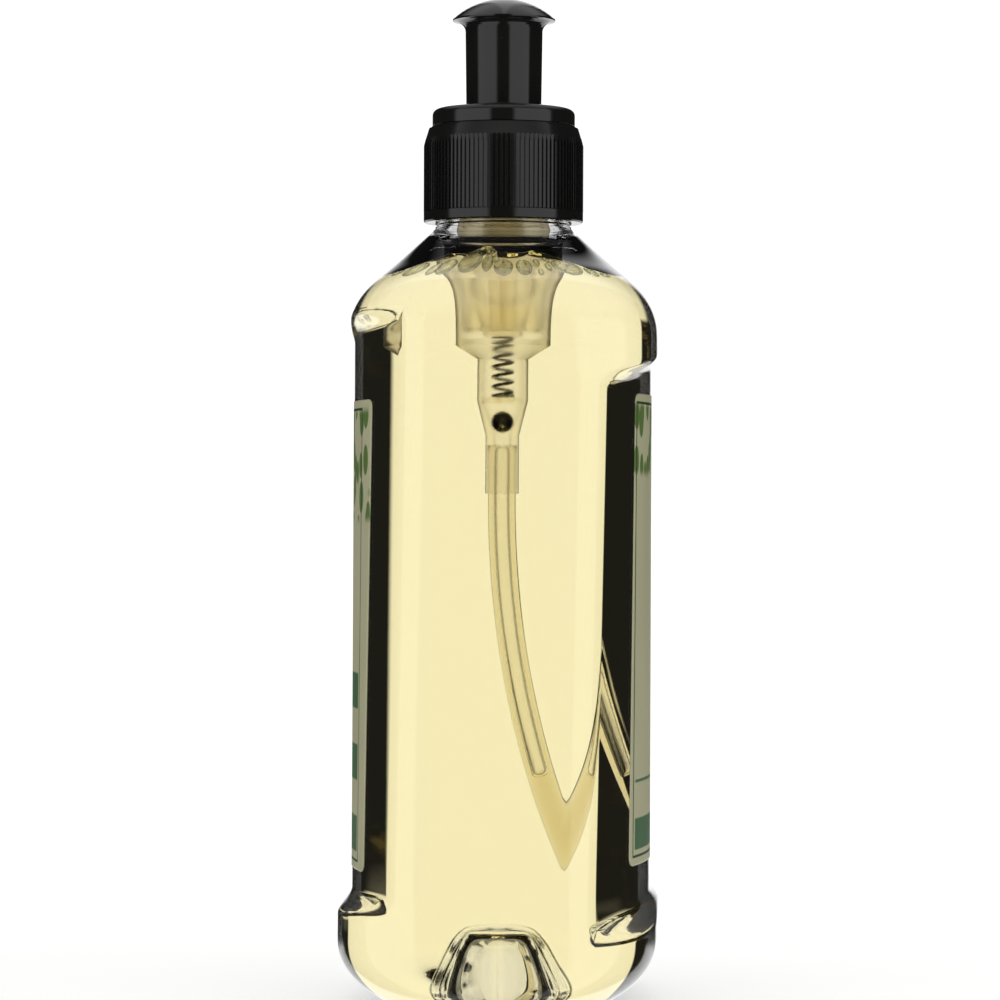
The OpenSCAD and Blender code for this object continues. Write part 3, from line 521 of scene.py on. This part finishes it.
# %% Froth
# Place across, height above the level, half width and half height
FLAT = ((-19.9, 0.9, 2.3, 0.7), (-16.4, 1.7, 2.7, 1.4), (-12.9, 1.7, 1.1, 1.2), (-10.2, 1.8, 1.8, 1.5),
        (-5.6, 2.8, 2.2, 2.0), (-2.4, 2.6, 1.1, 1.7), (0.9, 1.9, 1.9, 1.5), (4.7, 1.8, 1.6, 1.4),
        (7.3, 2.6, 0.6, 0.6), (8.2, 1.2, 0.6, 0.6), (9.0, 3.0, 0.6, 0.6), (9.7, 1.9, 0.6, 0.7),
        (13.3, 1.9, 3.1, 1.5), (17.9, 1.0, 1.4, 0.9), (20.8, 0.6, 1.5, 0.5))
SMALL = 90
chance = random.Random(11)
bubbles = [on_wall(*place) for place in FLAT]
for i in range(SMALL):
    a = chance.uniform(0, 2 * math.pi)
    r = 0.25 + 1.1 * chance.random() ** 2
    # The edge point whose direction is nearest to the angle, also across the turn from 360 to 0 degrees
    p = contact[np.argmin(np.abs(np.angle(np.exp(1j * (np.arctan2(contact[:, 1], contact[:, 0]) - a)))))]
    back = 1 - (2.6 * r + 0.9 + (chance.uniform(0, 6) if i % 3 == 0 else 0)) / math.hypot(p[0], p[1])
    if p[1] < -8 and i % 3:
        continue
    bubbles.append(ball_points(np.array([p[0] * back, p[1] * back, LEVEL - 1.1 * r]), np.array([r, r, 0.9 * r])))
points, faces = [], []
# A ball is rows of points between two poles, so the first and the last row become one point each
for b in bubbles:
    rows_n, cols = b.shape[:2]
    start = len(points)
    points += [tuple(q) for q in b[1:-1].reshape(-1, 3)] + [tuple(b[0, 0]), tuple(b[-1, 0])]
    for k in range(rows_n - 3):
        faces += [(start + k * cols + j, start + k * cols + (j + 1) % cols, start + (k + 1) * cols + (j + 1) % cols,
                   start + (k + 1) * cols + j) for j in range(cols)]
    south, north = len(points) - 2, len(points) - 1
    last_row = start + (rows_n - 3) * cols
    faces += [(south, start + (j + 1) % cols, start + j) for j in range(cols)]
    faces += [(north, last_row + j, last_row + (j + 1) % cols) for j in range(cols)]
froth = new_object("froth", points, faces, "bottle")
print("bubbles:", len(bubbles))

# %% [markdown]
# ## The dip tube
# The liquid is not cut out round the pump, so that the pump can move in it. Whatever stands in the liquid
# therefore has its index relative to the liquid: about 1.1 for plastic and 0.735 for air.
# The real tube is hollow and open below. Liquid stands in it up to 47 mm, and air fills the rest, because this
# pump has not been primed yet. In the liquid, plastic and liquid look nearly the same, so the tube is one
# closed sweep that is solid below that height and hollow above it.

# %% Dip tube
MENISCUS_Z = 47
LENGTH = TUBE_TOP - SOCKET_Z + BEND_R * BEND
to_level = TUBE_TOP - SOCKET_Z + BEND_R * math.asin((SOCKET_Z - MENISCUS_Z) / BEND_R)
tube_s = np.concatenate([np.linspace(0, 9.7, 5), np.linspace(12, LENGTH, 60)])
# Each station is a distance below the tube's top and a radius: up the outside, then down the bore
stations = [(LENGTH - 2.2, 0.3), (LENGTH - 2.2, 1.4), (LENGTH - 0.1, 1.55), (LENGTH, 1.65), (LENGTH, 2.6),
            (LENGTH - 0.1, TUBE_R)]
stations += [(s, TUBE_R) for s in tube_s[-2::-1]]
stations += [(s, 1.56) for s in tube_s if s < to_level - 1]
stations += [(to_level, 1.56), (to_level + 0.4, 1.4), (to_level + 0.5, 0.3)]
tube = grid("tube", swept_rings(stations), "pump", cap_start=True, cap_end=True)
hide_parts("dip_tube")
print("tube length:", round(LENGTH, 1), "air in it down to", round(to_level, 1))

# %% [markdown]
# ## The air in the tube and in the chamber
# Air is what makes the bore of the tube and the upper chamber visible. Two closed bodies stand for it,
# one in the bore and one in the chamber, and each ends in a rounded meniscus.

# %% Air
air_stations = [(to_level + 0.35, 0.2), (to_level + 0.3, 0.7), (to_level + 0.12, 1.1), (to_level - 0.25, 1.4),
                (to_level - 0.9, 1.5)]
air_stations += [(s, 1.5) for s in np.linspace(to_level - 3, 2, 40)]
air_stations += [(1.2, 1.45), (0.7, 1.25), (0.4, 0.9), (0.25, 0.3)]
tube_air = grid("tube_air", swept_rings(air_stations, 48), "pump", cap_start=True, cap_end=True)
chamber_line = [(0.4, 138.3), (5.5, 138.4), (6.8, 138.7), (7.5, 139.5), (7.75, 141), (7.75, LEVEL - 0.4),
                (7.6, LEVEL - 0.15), (0.4, LEVEL - 0.15)]
chamber_air = grid("chamber_air", lathe_rings(chamber_line, 64), "pump", cap_start=True, cap_end=True)
print("air in the chamber is", round(LEVEL - 0.15 - 138.3, 1), "mm high")

# %% [markdown]
# ## The spring
# The real spring is a coil of steel wire with closed ends. A screw modifier could make it. Rings of points
# along a helix do the same here, and the pitch falls to nothing in the first and the last part of a turn.

# %% Spring
COILS, WIRE, COIL_R, STEPS = 7, 0.35, 1.95, 40
SEAT_Z, SPRING_TOP = 123.2, 135.45
OPEN_COILS = COILS - 1.2
pitch = (SPRING_TOP - SEAT_Z - 2 * WIRE) / OPEN_COILS
spring_rings = []
for i in range(COILS * STEPS + 1):
    t = i / STEPS
    a = 2 * math.pi * t
    z = SEAT_Z + WIRE + pitch * min(OPEN_COILS, max(0, t - 0.6))
    w = np.linspace(0, 2 * np.pi, 12, endpoint=False)
    q = COIL_R + WIRE * np.cos(w)
    spring_rings.append(np.stack([q * math.cos(a), q * math.sin(a), z + WIRE * np.sin(w)], -1))
spring = grid("coil_spring", np.array(spring_rings), "pump", cap_start=True, cap_end=True)
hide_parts("spring")
print("spring:", COILS, "coils with a pitch of", round(pitch, 2), "mm")

# %% [markdown]
# ## Labels
# Each label is a patch of film on its panel, 0.1 mm thick with rounded corners.
# A plane with a shrinkwrap modifier would do. A grid on the panel's own formula follows it exactly instead,
# and its front and back rows are joined into one closed loop, so the film has an edge that catches light.

# %% Labels
LABEL_W, LABEL_H, LABEL_CORNER = 48.0, 94.0, 2.0
FRONT_PLACE, BACK_PLACE = (-1, 28.5, -2.4), (1, 29.9, -0.7)


def label(name, side, z0, y0, replaced):
    """A film on the panel at side -1 or 1, from the height z0 up, with its middle y0 off the panel's."""
    c, w, h, n = LABEL_CORNER, LABEL_W, LABEL_H, 48
    zs = spans((0, 6), (c, 30), (h - c, 6), (h, 1))
    front, back = [], []
    for z in zs:
        e = min(z, h - z)
        half = w / 2 - c + math.sqrt(max(0, c * c - max(0, c - e) ** 2))
        y = side * y0 + np.linspace(-half, half, n)
        taper = BODY_D / 2 / half_depth(np.array(z0 + z))
        for rows, r in ((front, PANEL_R + 0.1), (back, PANEL_R + 0.005)):
            x = PANEL_W / 2 - PANEL_R + np.sqrt(r * r - (y * taper) ** 2)
            rows.append(twist(np.stack([side * x, side * y, np.full(n, z0 + z)], -1)))
    loop = np.concatenate([np.array(front), np.array(back)[:, ::-1]], 1)
    made = grid(name, loop, "bottle", cap_start=True, cap_end=True)
    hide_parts(replaced)
    return made


front_label = label("front_film", *FRONT_PLACE, "front_label")
back_label = label("back_film", *BACK_PLACE, "back_label")
print("label faces:", len(front_label.data.polygons), len(back_label.data.polygons))

# %% [markdown]
# ## Helpers for materials
# A material is a tree of nodes, and wiring each node by hand makes long code.
# A few small functions add a node, set or link its sockets and give back its output.

# %% Node helpers
def group(name, inputs, outputs):
    """A node group with named number sockets."""
    tree = bpy.data.node_groups.new(name, "ShaderNodeTree")
    for n, default in inputs:
        s = tree.interface.new_socket(n, in_out="INPUT", socket_type="NodeSocketFloat")
        s.default_value = default
    for n in outputs:
        tree.interface.new_socket(n, in_out="OUTPUT", socket_type="NodeSocketFloat")
    return tree, tree.nodes.new("NodeGroupInput"), tree.nodes.new("NodeGroupOutput")


def math_node(tree, how, a, b=None, c=None, clamp=False):
    """A Math node. Its inputs are numbers or outputs of other nodes."""
    m = tree.nodes.new("ShaderNodeMath")
    m.operation, m.use_clamp = how, clamp
    for i, v in enumerate((a, b, c)):
        if v is None:
            continue
        if isinstance(v, (int, float)):
            m.inputs[i].default_value = v
        else:
            tree.links.new(v, m.inputs[i])
    return m.outputs[0]


def ramp01(tree, value, a, b):
    """Goes softly from 0 at a to 1 at b."""
    m = tree.nodes.new("ShaderNodeMapRange")
    m.interpolation_type = "SMOOTHSTEP"
    tree.links.new(value, m.inputs["Value"])
    m.inputs["From Min"].default_value, m.inputs["From Max"].default_value = a, b
    return m.outputs["Result"]


def noise(tree, scale, detail=3.0, stretch=(1, 1, 1)):
    """Noise in the object's own coordinates, drawn out along an axis where stretch is less than 1."""
    at = tree.nodes.new("ShaderNodeTexCoord")
    m = tree.nodes.new("ShaderNodeMapping")
    m.inputs["Scale"].default_value = stretch
    tree.links.new(at.outputs["Object"], m.inputs["Vector"])
    t = tree.nodes.new("ShaderNodeTexNoise")
    t.inputs["Scale"].default_value, t.inputs["Detail"].default_value = scale, detail
    tree.links.new(m.outputs[0], t.inputs["Vector"])
    return t.outputs["Fac"]


def coordinates(tree):
    """Texture coordinates, and the object's own ones split into x, y and z."""
    at = tree.nodes.new("ShaderNodeTexCoord")
    split = tree.nodes.new("ShaderNodeSeparateXYZ")
    tree.links.new(at.outputs["Object"], split.inputs[0])
    return at, split.outputs


def mix_color(tree, factor, a, b):
    """A Mix node for colours."""
    m = tree.nodes.new("ShaderNodeMix")
    m.data_type = "RGBA"
    for i, v in ((0, factor), (6, a), (7, b)):
        if isinstance(v, (tuple, int, float)):
            m.inputs[i].default_value = v
        else:
            tree.links.new(v, m.inputs[i])
    return m.outputs[2]


print("helpers: group, math_node, ramp01, noise, coordinates, mix_color")

# %% [markdown]
# ## Effects that the finishes share
# Shared effects are node groups that put out masks and heights. The shader stays in each material.
# Handling gives soft smears and specks of dust, which change the roughness. Ripples give the long and the
# fine waves of blown or moulded plastic, which bend the highlights. Each finish sets its own amounts.

# %% Shared effects
handling, hin, hout = group("handling", [("Smears", 0.5), ("Dust", 0.3)], ["Rough", "Dust", "Height"])
smear = ramp01(handling, noise(handling, 60, 4, (1, 1, 0.5)), 0.42, 0.72)
speck = ramp01(handling, noise(handling, 1500, 1), 0.74, 0.8)
handling.links.new(math_node(handling, "MULTIPLY", smear, hin.outputs["Smears"]), hout.inputs["Rough"])
handling.links.new(math_node(handling, "MULTIPLY", speck, hin.outputs["Dust"]), hout.inputs["Dust"])
handling.links.new(math_node(handling, "MULTIPLY_ADD", noise(handling, 220, 2), 0.5, smear), hout.inputs["Height"])

ripples, rin, rout = group("ripples", [("Wave", 1.0), ("Fine", 0.3)], ["Height"])
wave = math_node(ripples, "MULTIPLY", noise(ripples, 45, 1, (1, 1, 0.35)), rin.outputs["Wave"])
fine = math_node(ripples, "MULTIPLY", noise(ripples, 260, 2), rin.outputs["Fine"])
ripples.links.new(math_node(ripples, "ADD", wave, fine), rout.inputs["Height"])
print("groups:", handling.name, ripples.name)


# %% [markdown]
# ## One function for every finish
# Nearly all finishes here are the Principled shader with the same two effects, so one function makes them.
# It sets plain values on the shader's sockets and adds handling to the roughness and ripples to the normal.

# %% One function for every finish
def finish(name, color, rough=0.2, metal=0.0, glass=0.0, ior=1.5, coat=0.0, smears=0.08, dust=0.05, bump=0.02,
           wave=1.0, fine=0.3, subsurface=0.0):
    """A Principled material with handling on its roughness and ripples in its normal."""
    m = bpy.data.materials.new(name)
    m.use_nodes = True
    t = m.node_tree
    p = t.nodes["Principled BSDF"]
    p.inputs["Base Color"].default_value = (*color, 1)
    p.inputs["Metallic"].default_value = metal
    p.inputs["Transmission Weight"].default_value = glass
    p.inputs["IOR"].default_value = ior
    p.inputs["Coat Weight"].default_value = coat
    p.inputs["Subsurface Weight"].default_value = subsurface
    p.inputs["Subsurface Radius"].default_value = (0.003, 0.003, 0.002)
    h = t.nodes.new("ShaderNodeGroup")
    h.node_tree = handling
    h.inputs["Smears"].default_value, h.inputs["Dust"].default_value = smears, dust
    sum_rough = math_node(t, "ADD", math_node(t, "ADD", h.outputs["Rough"], rough), h.outputs["Dust"], clamp=True)
    t.links.new(sum_rough, p.inputs["Roughness"])
    r = t.nodes.new("ShaderNodeGroup")
    r.node_tree = ripples
    r.inputs["Wave"].default_value, r.inputs["Fine"].default_value = wave, fine
    b = t.nodes.new("ShaderNodeBump")
    b.inputs["Strength"].default_value = 1.0
    b.inputs["Distance"].default_value = bump / 1000
    t.links.new(r.outputs["Height"], b.inputs["Height"])
    t.links.new(b.outputs["Normal"], p.inputs["Normal"])
    return m, t, p, b


def dress(obj, material):
    """Gives an object this material alone."""
    obj.data.materials.clear()
    obj.data.materials.append(material)


def fill(tree, colour, density):
    """Lets a clear body take up light along its way, which gives thick places a deeper colour."""
    absorb = tree.nodes.new("ShaderNodeVolumeAbsorption")
    absorb.inputs["Color"].default_value = (*colour, 1)
    absorb.inputs["Density"].default_value = density
    tree.links.new(absorb.outputs[0], tree.nodes["Material Output"].inputs["Volume"])


print("helpers: finish, dress, fill")

# %% [markdown]
# ## Clear plastic and liquid
# The wall is plain glass with the index of clear polyester. The liquid is pale yellow because it takes up blue
# on the way through: a volume makes the thick middle deeper than the edges, which a tinted surface can't.

# %% Bottle and liquid
SOAP_INDEX = 1.36
clear, t, p, b = finish("clear_plastic", (1, 1, 1), rough=0.0, glass=1, ior=1.5, smears=0.0, dust=0.0, bump=0.03,
                        fine=0.05)
soap, t, p, b = finish("soap", (1, 1, 1), rough=0.0, glass=1, ior=SOAP_INDEX, smears=0.0, dust=0.0, bump=0.0)
fill(t, (0.995, 0.84, 0.0), 8.0)
dress(bottle, clear)
dress(liquid, soap)
print("materials:", clear.name, soap.name)

# %% [markdown]
# ## Mouldings, metal and foam
# Closure and head are glossy black. The chamber, the rod and the stem are milky, so they are glass with a
# rough surface and a volume, and the tube is the same but nearly smooth. Their index is relative to the liquid.
# Above the liquid little light reaches the pump, so there the milky plastic's colour is darkened to khaki by its
# height, as painted shade.

# %% Pump
black, t, p, b = finish("black_plastic", (0.012, 0.0115, 0.011), rough=0.08, smears=0.08, dust=0.25, bump=0.04)
milky, t, p, b = finish("milky_plastic", (1, 1, 1), rough=0.42, glass=1, ior=1.1, smears=0.1, bump=0.05)
fill(t, (0.80, 0.72, 0.5), 120)
at, (x, y, z) = coordinates(t)
# Painted shade: above the liquid's level the base colour goes from white to khaki.
painted_shade_above_level = ramp01(t, z, LEVEL / MM, (LEVEL + 3) / MM)
t.links.new(mix_color(t, painted_shade_above_level, (1, 1, 1, 1), (0.8, 0.77, 0.66, 1)), p.inputs["Base Color"])
pipe, t, p, b = finish("tube_plastic", (1, 1, 1), rough=0.02, glass=1, ior=1.09, smears=0.03, bump=0.03)
fill(t, (0.78, 0.70, 0.42), 240)
white, t, p, b = finish("white_plastic", (0.96, 0.93, 0.84), rough=0.3, glass=1, ior=1.06, smears=0.1, bump=0.05)
steel, t, p, b = finish("steel", (0.55, 0.54, 0.52), rough=0.22, metal=1, smears=0.1, bump=0.02)
foam, t, p, b = finish("gasket_foam", (0.7, 0.7, 0.68), rough=0.6, bump=0.2, fine=1.0)
worn_by = {black: ("collar", "chaplet", "head"), milky: ("stem", "housing", "piston_rod"),
           white: ("piston", "spring_seat"), steel: ("outlet_ball", "inlet_ball"), foam: ("gasket",)}
for material, names in worn_by.items():
    for name in names:
        dress(node[name], material)
dress(tube, pipe)
dress(spring, steel)
print("materials:", [m.name for m in worn_by], pipe.name)

# %% [markdown]
# ## Air in liquid
# Air bends light less than the liquid does, so its glass has an index below one and mirrors slanting rays.
# That alone turns froth and chamber nearly black. Real froth has many walls, and the chamber is milky,
# so a part of the light is let straight on by a transparent shader beside the glass.

# %% Bubbles and air
def air_material(name, rough, soft, tint=(1, 1, 1, 1), veil_tint=(1, 1, 1, 1)):
    """Air in liquid. The part soft of the light goes straight on."""
    m = bpy.data.materials.new(name)
    m.use_nodes = True
    t = m.node_tree
    t.nodes.remove(t.nodes["Principled BSDF"])
    g = t.nodes.new("ShaderNodeBsdfGlass")
    g.inputs["IOR"].default_value = 1 / SOAP_INDEX
    g.inputs["Roughness"].default_value = rough
    g.inputs["Color"].default_value = tint
    veil = t.nodes.new("ShaderNodeBsdfTransparent")
    veil.inputs["Color"].default_value = veil_tint
    both = t.nodes.new("ShaderNodeMixShader")
    both.inputs["Fac"].default_value = soft
    t.links.new(g.outputs[0], both.inputs[1])
    t.links.new(veil.outputs[0], both.inputs[2])
    t.links.new(both.outputs[0], t.nodes["Material Output"].inputs["Surface"])
    return m


bubble_film = air_material("bubble_film", 0.0, 0.5, (0.97, 0.97, 0.9, 1), (0.9, 0.92, 0.9, 1))
air_in_pump = air_material("air_in_pump", 0.1, 0.8)
air_in_tube = air_material("air_in_tube", 0.1, 0.5)
dress(froth, bubble_film)
dress(tube_air, air_in_tube)
dress(chamber_air, air_in_pump)
print("materials:", bubble_film.name, air_in_pump.name, air_in_tube.name)

# %% [markdown]
# ## Printed film
# The film is printed with a plain frame line, a field of soft leaf shapes and tinted bars. An image would
# need a picture file. Masks do it here: a distance to the edge gives the line, cells give the leaves, and a
# wave gives the bars. The side on the wall is painted near black as shade, because little light comes out of a print
# from behind.

# %% Print on the labels
PAPER, LEAF_GREEN, BAR_GREEN = (0.7, 0.69, 0.44), (0.16, 0.27, 0.07, 1), (0.10, 0.22, 0.10, 1)
LINE_GREEN, PAINTED_SHADE_BEHIND = (0.03, 0.085, 0.035, 1), (0.02, 0.016, 0.006, 1)


def label_art(name, side, z0, y0, leaf_bottom, leaf_top, block_top):
    """The print. Heights count from the label's middle: leaves between two of them, bars up to the last."""
    film, t, p, b = finish(name, PAPER, rough=0.35, smears=0.1, bump=0.02)
    at, (x, y, z) = coordinates(t)

    def times(a, b):
        return math_node(t, "MULTIPLY", a, b)

    across = math_node(t, "ABSOLUTE", math_node(t, "SUBTRACT", times(y, float(MM)), side * y0))
    up = math_node(t, "SUBTRACT", times(z, float(MM)), z0 + LABEL_H / 2)
    to_side = math_node(t, "SUBTRACT", LABEL_W / 2, across)
    to_end = math_node(t, "SUBTRACT", LABEL_H / 2, math_node(t, "ABSOLUTE", up))
    to_edge = math_node(t, "MINIMUM", to_side, to_end)
    line = times(ramp01(t, to_edge, 1.5, 1.6), ramp01(t, to_edge, 2.1, 2.0))
    cells = t.nodes.new("ShaderNodeTexVoronoi")
    cells.inputs["Scale"].default_value = 1.0
    place = t.nodes.new("ShaderNodeMapping")
    place.inputs["Scale"].default_value = (0, 260, 150)
    t.links.new(at.outputs["Object"], place.inputs["Vector"])
    t.links.new(place.outputs[0], cells.inputs["Vector"])
    leaf_field = times(ramp01(t, up, leaf_bottom, leaf_bottom + 2), ramp01(t, up, leaf_top + 2, leaf_top))
    leaf = times(ramp01(t, cells.outputs["Distance"], 0.52, 0.44), leaf_field)
    bars = t.nodes.new("ShaderNodeTexWave")
    bars.bands_direction = "Z"
    bars.inputs["Scale"].default_value = 22.0
    t.links.new(at.outputs["Object"], bars.inputs["Vector"])
    bar_field = times(ramp01(t, up, -44, -43.8), ramp01(t, up, block_top + 0.2, block_top))
    in_frame = times(ramp01(t, bars.outputs["Fac"], 0.45, 0.55), ramp01(t, to_edge, 2.9, 3.0))
    shade = mix_color(t, leaf, (*PAPER, 1), LEAF_GREEN)
    shade = mix_color(t, times(in_frame, bar_field), shade, BAR_GREEN)
    shade = mix_color(t, line, shade, LINE_GREEN)
    outward = t.nodes.new("ShaderNodeVectorMath")
    outward.operation = "DOT_PRODUCT"
    t.links.new(at.outputs["Normal"], outward.inputs[0])
    t.links.new(at.outputs["Object"], outward.inputs[1])
    # Painted shade: the side on the wall takes a near-black colour in place of the print.
    shade = mix_color(t, ramp01(t, outward.outputs["Value"], 0.005, -0.005), shade, PAINTED_SHADE_BEHIND)
    t.links.new(shade, p.inputs["Base Color"])
    return film


dress(front_label, label_art("front_film", *FRONT_PLACE, 22, 44, -6))
dress(back_label, label_art("back_film", *BACK_PLACE, 30, 44, -30))
print("label materials:", front_label.data.materials[0].name, back_label.data.materials[0].name)

# %% [markdown]
# ## Camera
# The photograph looks at the narrow side from 0.8 m away, one and a half degrees round to the right and
# turned by a fifth of a degree. The lens is worked out from the scale: 0.2048 mm of the bottle to a pixel.
# Light crosses many clear walls here, so the rays may go through a surface up to 24 times.

# %% Camera
scene = bpy.context.scene
scene.view_settings.view_transform = "Standard"
AZ, ROLL, FAR, SENSOR, MM_PER_PIXEL = math.radians(1.5), math.radians(0.2), 0.8, 36, 0.2048
cam = bpy.data.cameras.new("camera")
cam.lens, cam.sensor_width, cam.clip_end = SENSOR / MM_PER_PIXEL * FAR, SENSOR, 20
camera = bpy.data.objects.new("camera", cam)
scene.collection.objects.link(camera)
right = Vector((math.cos(AZ), math.sin(AZ), 0))
aim = Vector((0, 0, 0.1026)) - right * 0.0005
camera.location = aim + FAR * Vector((math.sin(AZ), -math.cos(AZ), 0))
upright = Euler((math.pi / 2, 0, AZ)).to_matrix()
camera.rotation_euler = (upright @ Matrix.Rotation(ROLL, 3, "Z")).to_euler()
scene.camera = camera
scene.cycles.max_bounces = 24
scene.cycles.transmission_bounces = 24
scene.cycles.glossy_bounces = 8
print("camera at", [round(v, 3) for v in camera.location], "lens", round(cam.lens, 1))

# %% [markdown]
# ## A studio in the world
# What lights a clear bottle is what stands behind it, so the studio is painted into the world and has no lamps.
# A white backdrop of 27 degrees to either side shines through the bottle, and the dark beside it draws the
# dark bands. Boxes at both sides and one above give the black parts their highlights. Rays that went through
# the glass don't see them, because they would lie as pale strips in the liquid, and mirrored rays see a
# narrower backdrop. The camera itself sees plain white, as in the photograph.

# %% World
BACKDROP, BACKDROP_EDGE, NARROW_EDGE, DARK = 1.13, (28, 26.5), (6, 12), 0.012
world = bpy.data.worlds.new("studio")
scene.world = world
world.use_nodes = True
t = world.node_tree
bg = t.nodes["Background"]
at = t.nodes.new("ShaderNodeTexCoord")
xyz = t.nodes.new("ShaderNodeSeparateXYZ")
t.links.new(at.outputs["Generated"], xyz.inputs[0])
x, y, z = xyz.outputs
seen = t.nodes.new("ShaderNodeLightPath")


def between(value, a, b, c, d):
    """Rises from a to b and falls from c to d."""
    return math_node(t, "MULTIPLY", ramp01(t, value, a, b), ramp01(t, value, d, c))


# Turn from +Y in degrees, positive towards +X
turn = math_node(t, "MULTIPLY", math_node(t, "ARCTAN2", x, y), 180 / math.pi)
away = math_node(t, "ABSOLUTE", turn)
mirrored = math_node(t, "MULTIPLY", seen.outputs["Is Reflection Ray"], ramp01(t, away, *NARROW_EDGE))
strength = math_node(t, "MULTIPLY", math_node(t, "SUBTRACT", 1.0, mirrored), BACKDROP)
backdrop = math_node(t, "MULTIPLY", ramp01(t, away, *BACKDROP_EDGE), strength)
right_box = between(turn, 93, 101, 158, 166)
left_box = between(turn, -164, -156, -101, -93)
table = math_node(t, "MULTIPLY", ramp01(t, z, -0.1, -0.17), ramp01(t, away, 38, 32))
not_through = math_node(t, "SUBTRACT", 1.0, seen.outputs["Is Transmission Ray"])
above = math_node(t, "MULTIPLY", ramp01(t, z, 0.45, 0.8), math_node(t, "MULTIPLY", not_through, 0.7))
upper_end = math_node(t, "MULTIPLY", ramp01(t, z, 0.7, 0.4), not_through)
boxes = math_node(t, "MULTIPLY", math_node(t, "ADD", right_box, left_box), upper_end)
light = math_node(t, "MAXIMUM", math_node(t, "MAXIMUM", backdrop, table), math_node(t, "MAXIMUM", above, boxes))
light = math_node(t, "MAXIMUM", light, DARK)
t.links.new(math_node(t, "MAXIMUM", light, seen.outputs["Is Camera Ray"]), bg.inputs["Strength"])
bg.inputs["Color"].default_value = (1, 1, 1, 1)
print("world nodes:", len(t.nodes))

# %% [markdown]
# ## Ground
# The bottle stands on white, with a faint shade below it. A round floor gives that.
# It shines a little for the camera and fades out towards its edge, so no horizon shows. Rays that come from
# the glass don't see it, because the world's own table lights the foot evenly.

# %% Ground
FLOOR_R, FADE = 280, (0.27, 0.12)
floor = grid("floor", lathe_rings([(FLOOR_R, -0.02), (1, -0.02)]), None, cap_end=True)
ground = bpy.data.materials.new("ground")
ground.use_nodes = True
t = ground.node_tree
p = t.nodes["Principled BSDF"]
p.inputs["Base Color"].default_value = (0.88, 0.88, 0.87, 1)
p.inputs["Roughness"].default_value = 0.6
p.inputs["Emission Color"].default_value = (1, 1, 1, 1)
seen = t.nodes.new("ShaderNodeLightPath")
t.links.new(math_node(t, "MULTIPLY", seen.outputs["Is Camera Ray"], 0.52), p.inputs["Emission Strength"])
at = t.nodes.new("ShaderNodeTexCoord")
far = t.nodes.new("ShaderNodeVectorMath")
far.operation = "LENGTH"
t.links.new(at.outputs["Object"], far.inputs[0])
shown = math_node(t, "MULTIPLY", ramp01(t, far.outputs["Value"], *FADE), seen.outputs["Is Camera Ray"])
t.links.new(shown, p.inputs["Alpha"])
dress(floor, ground)
print("floor radius in mm:", FLOOR_R)
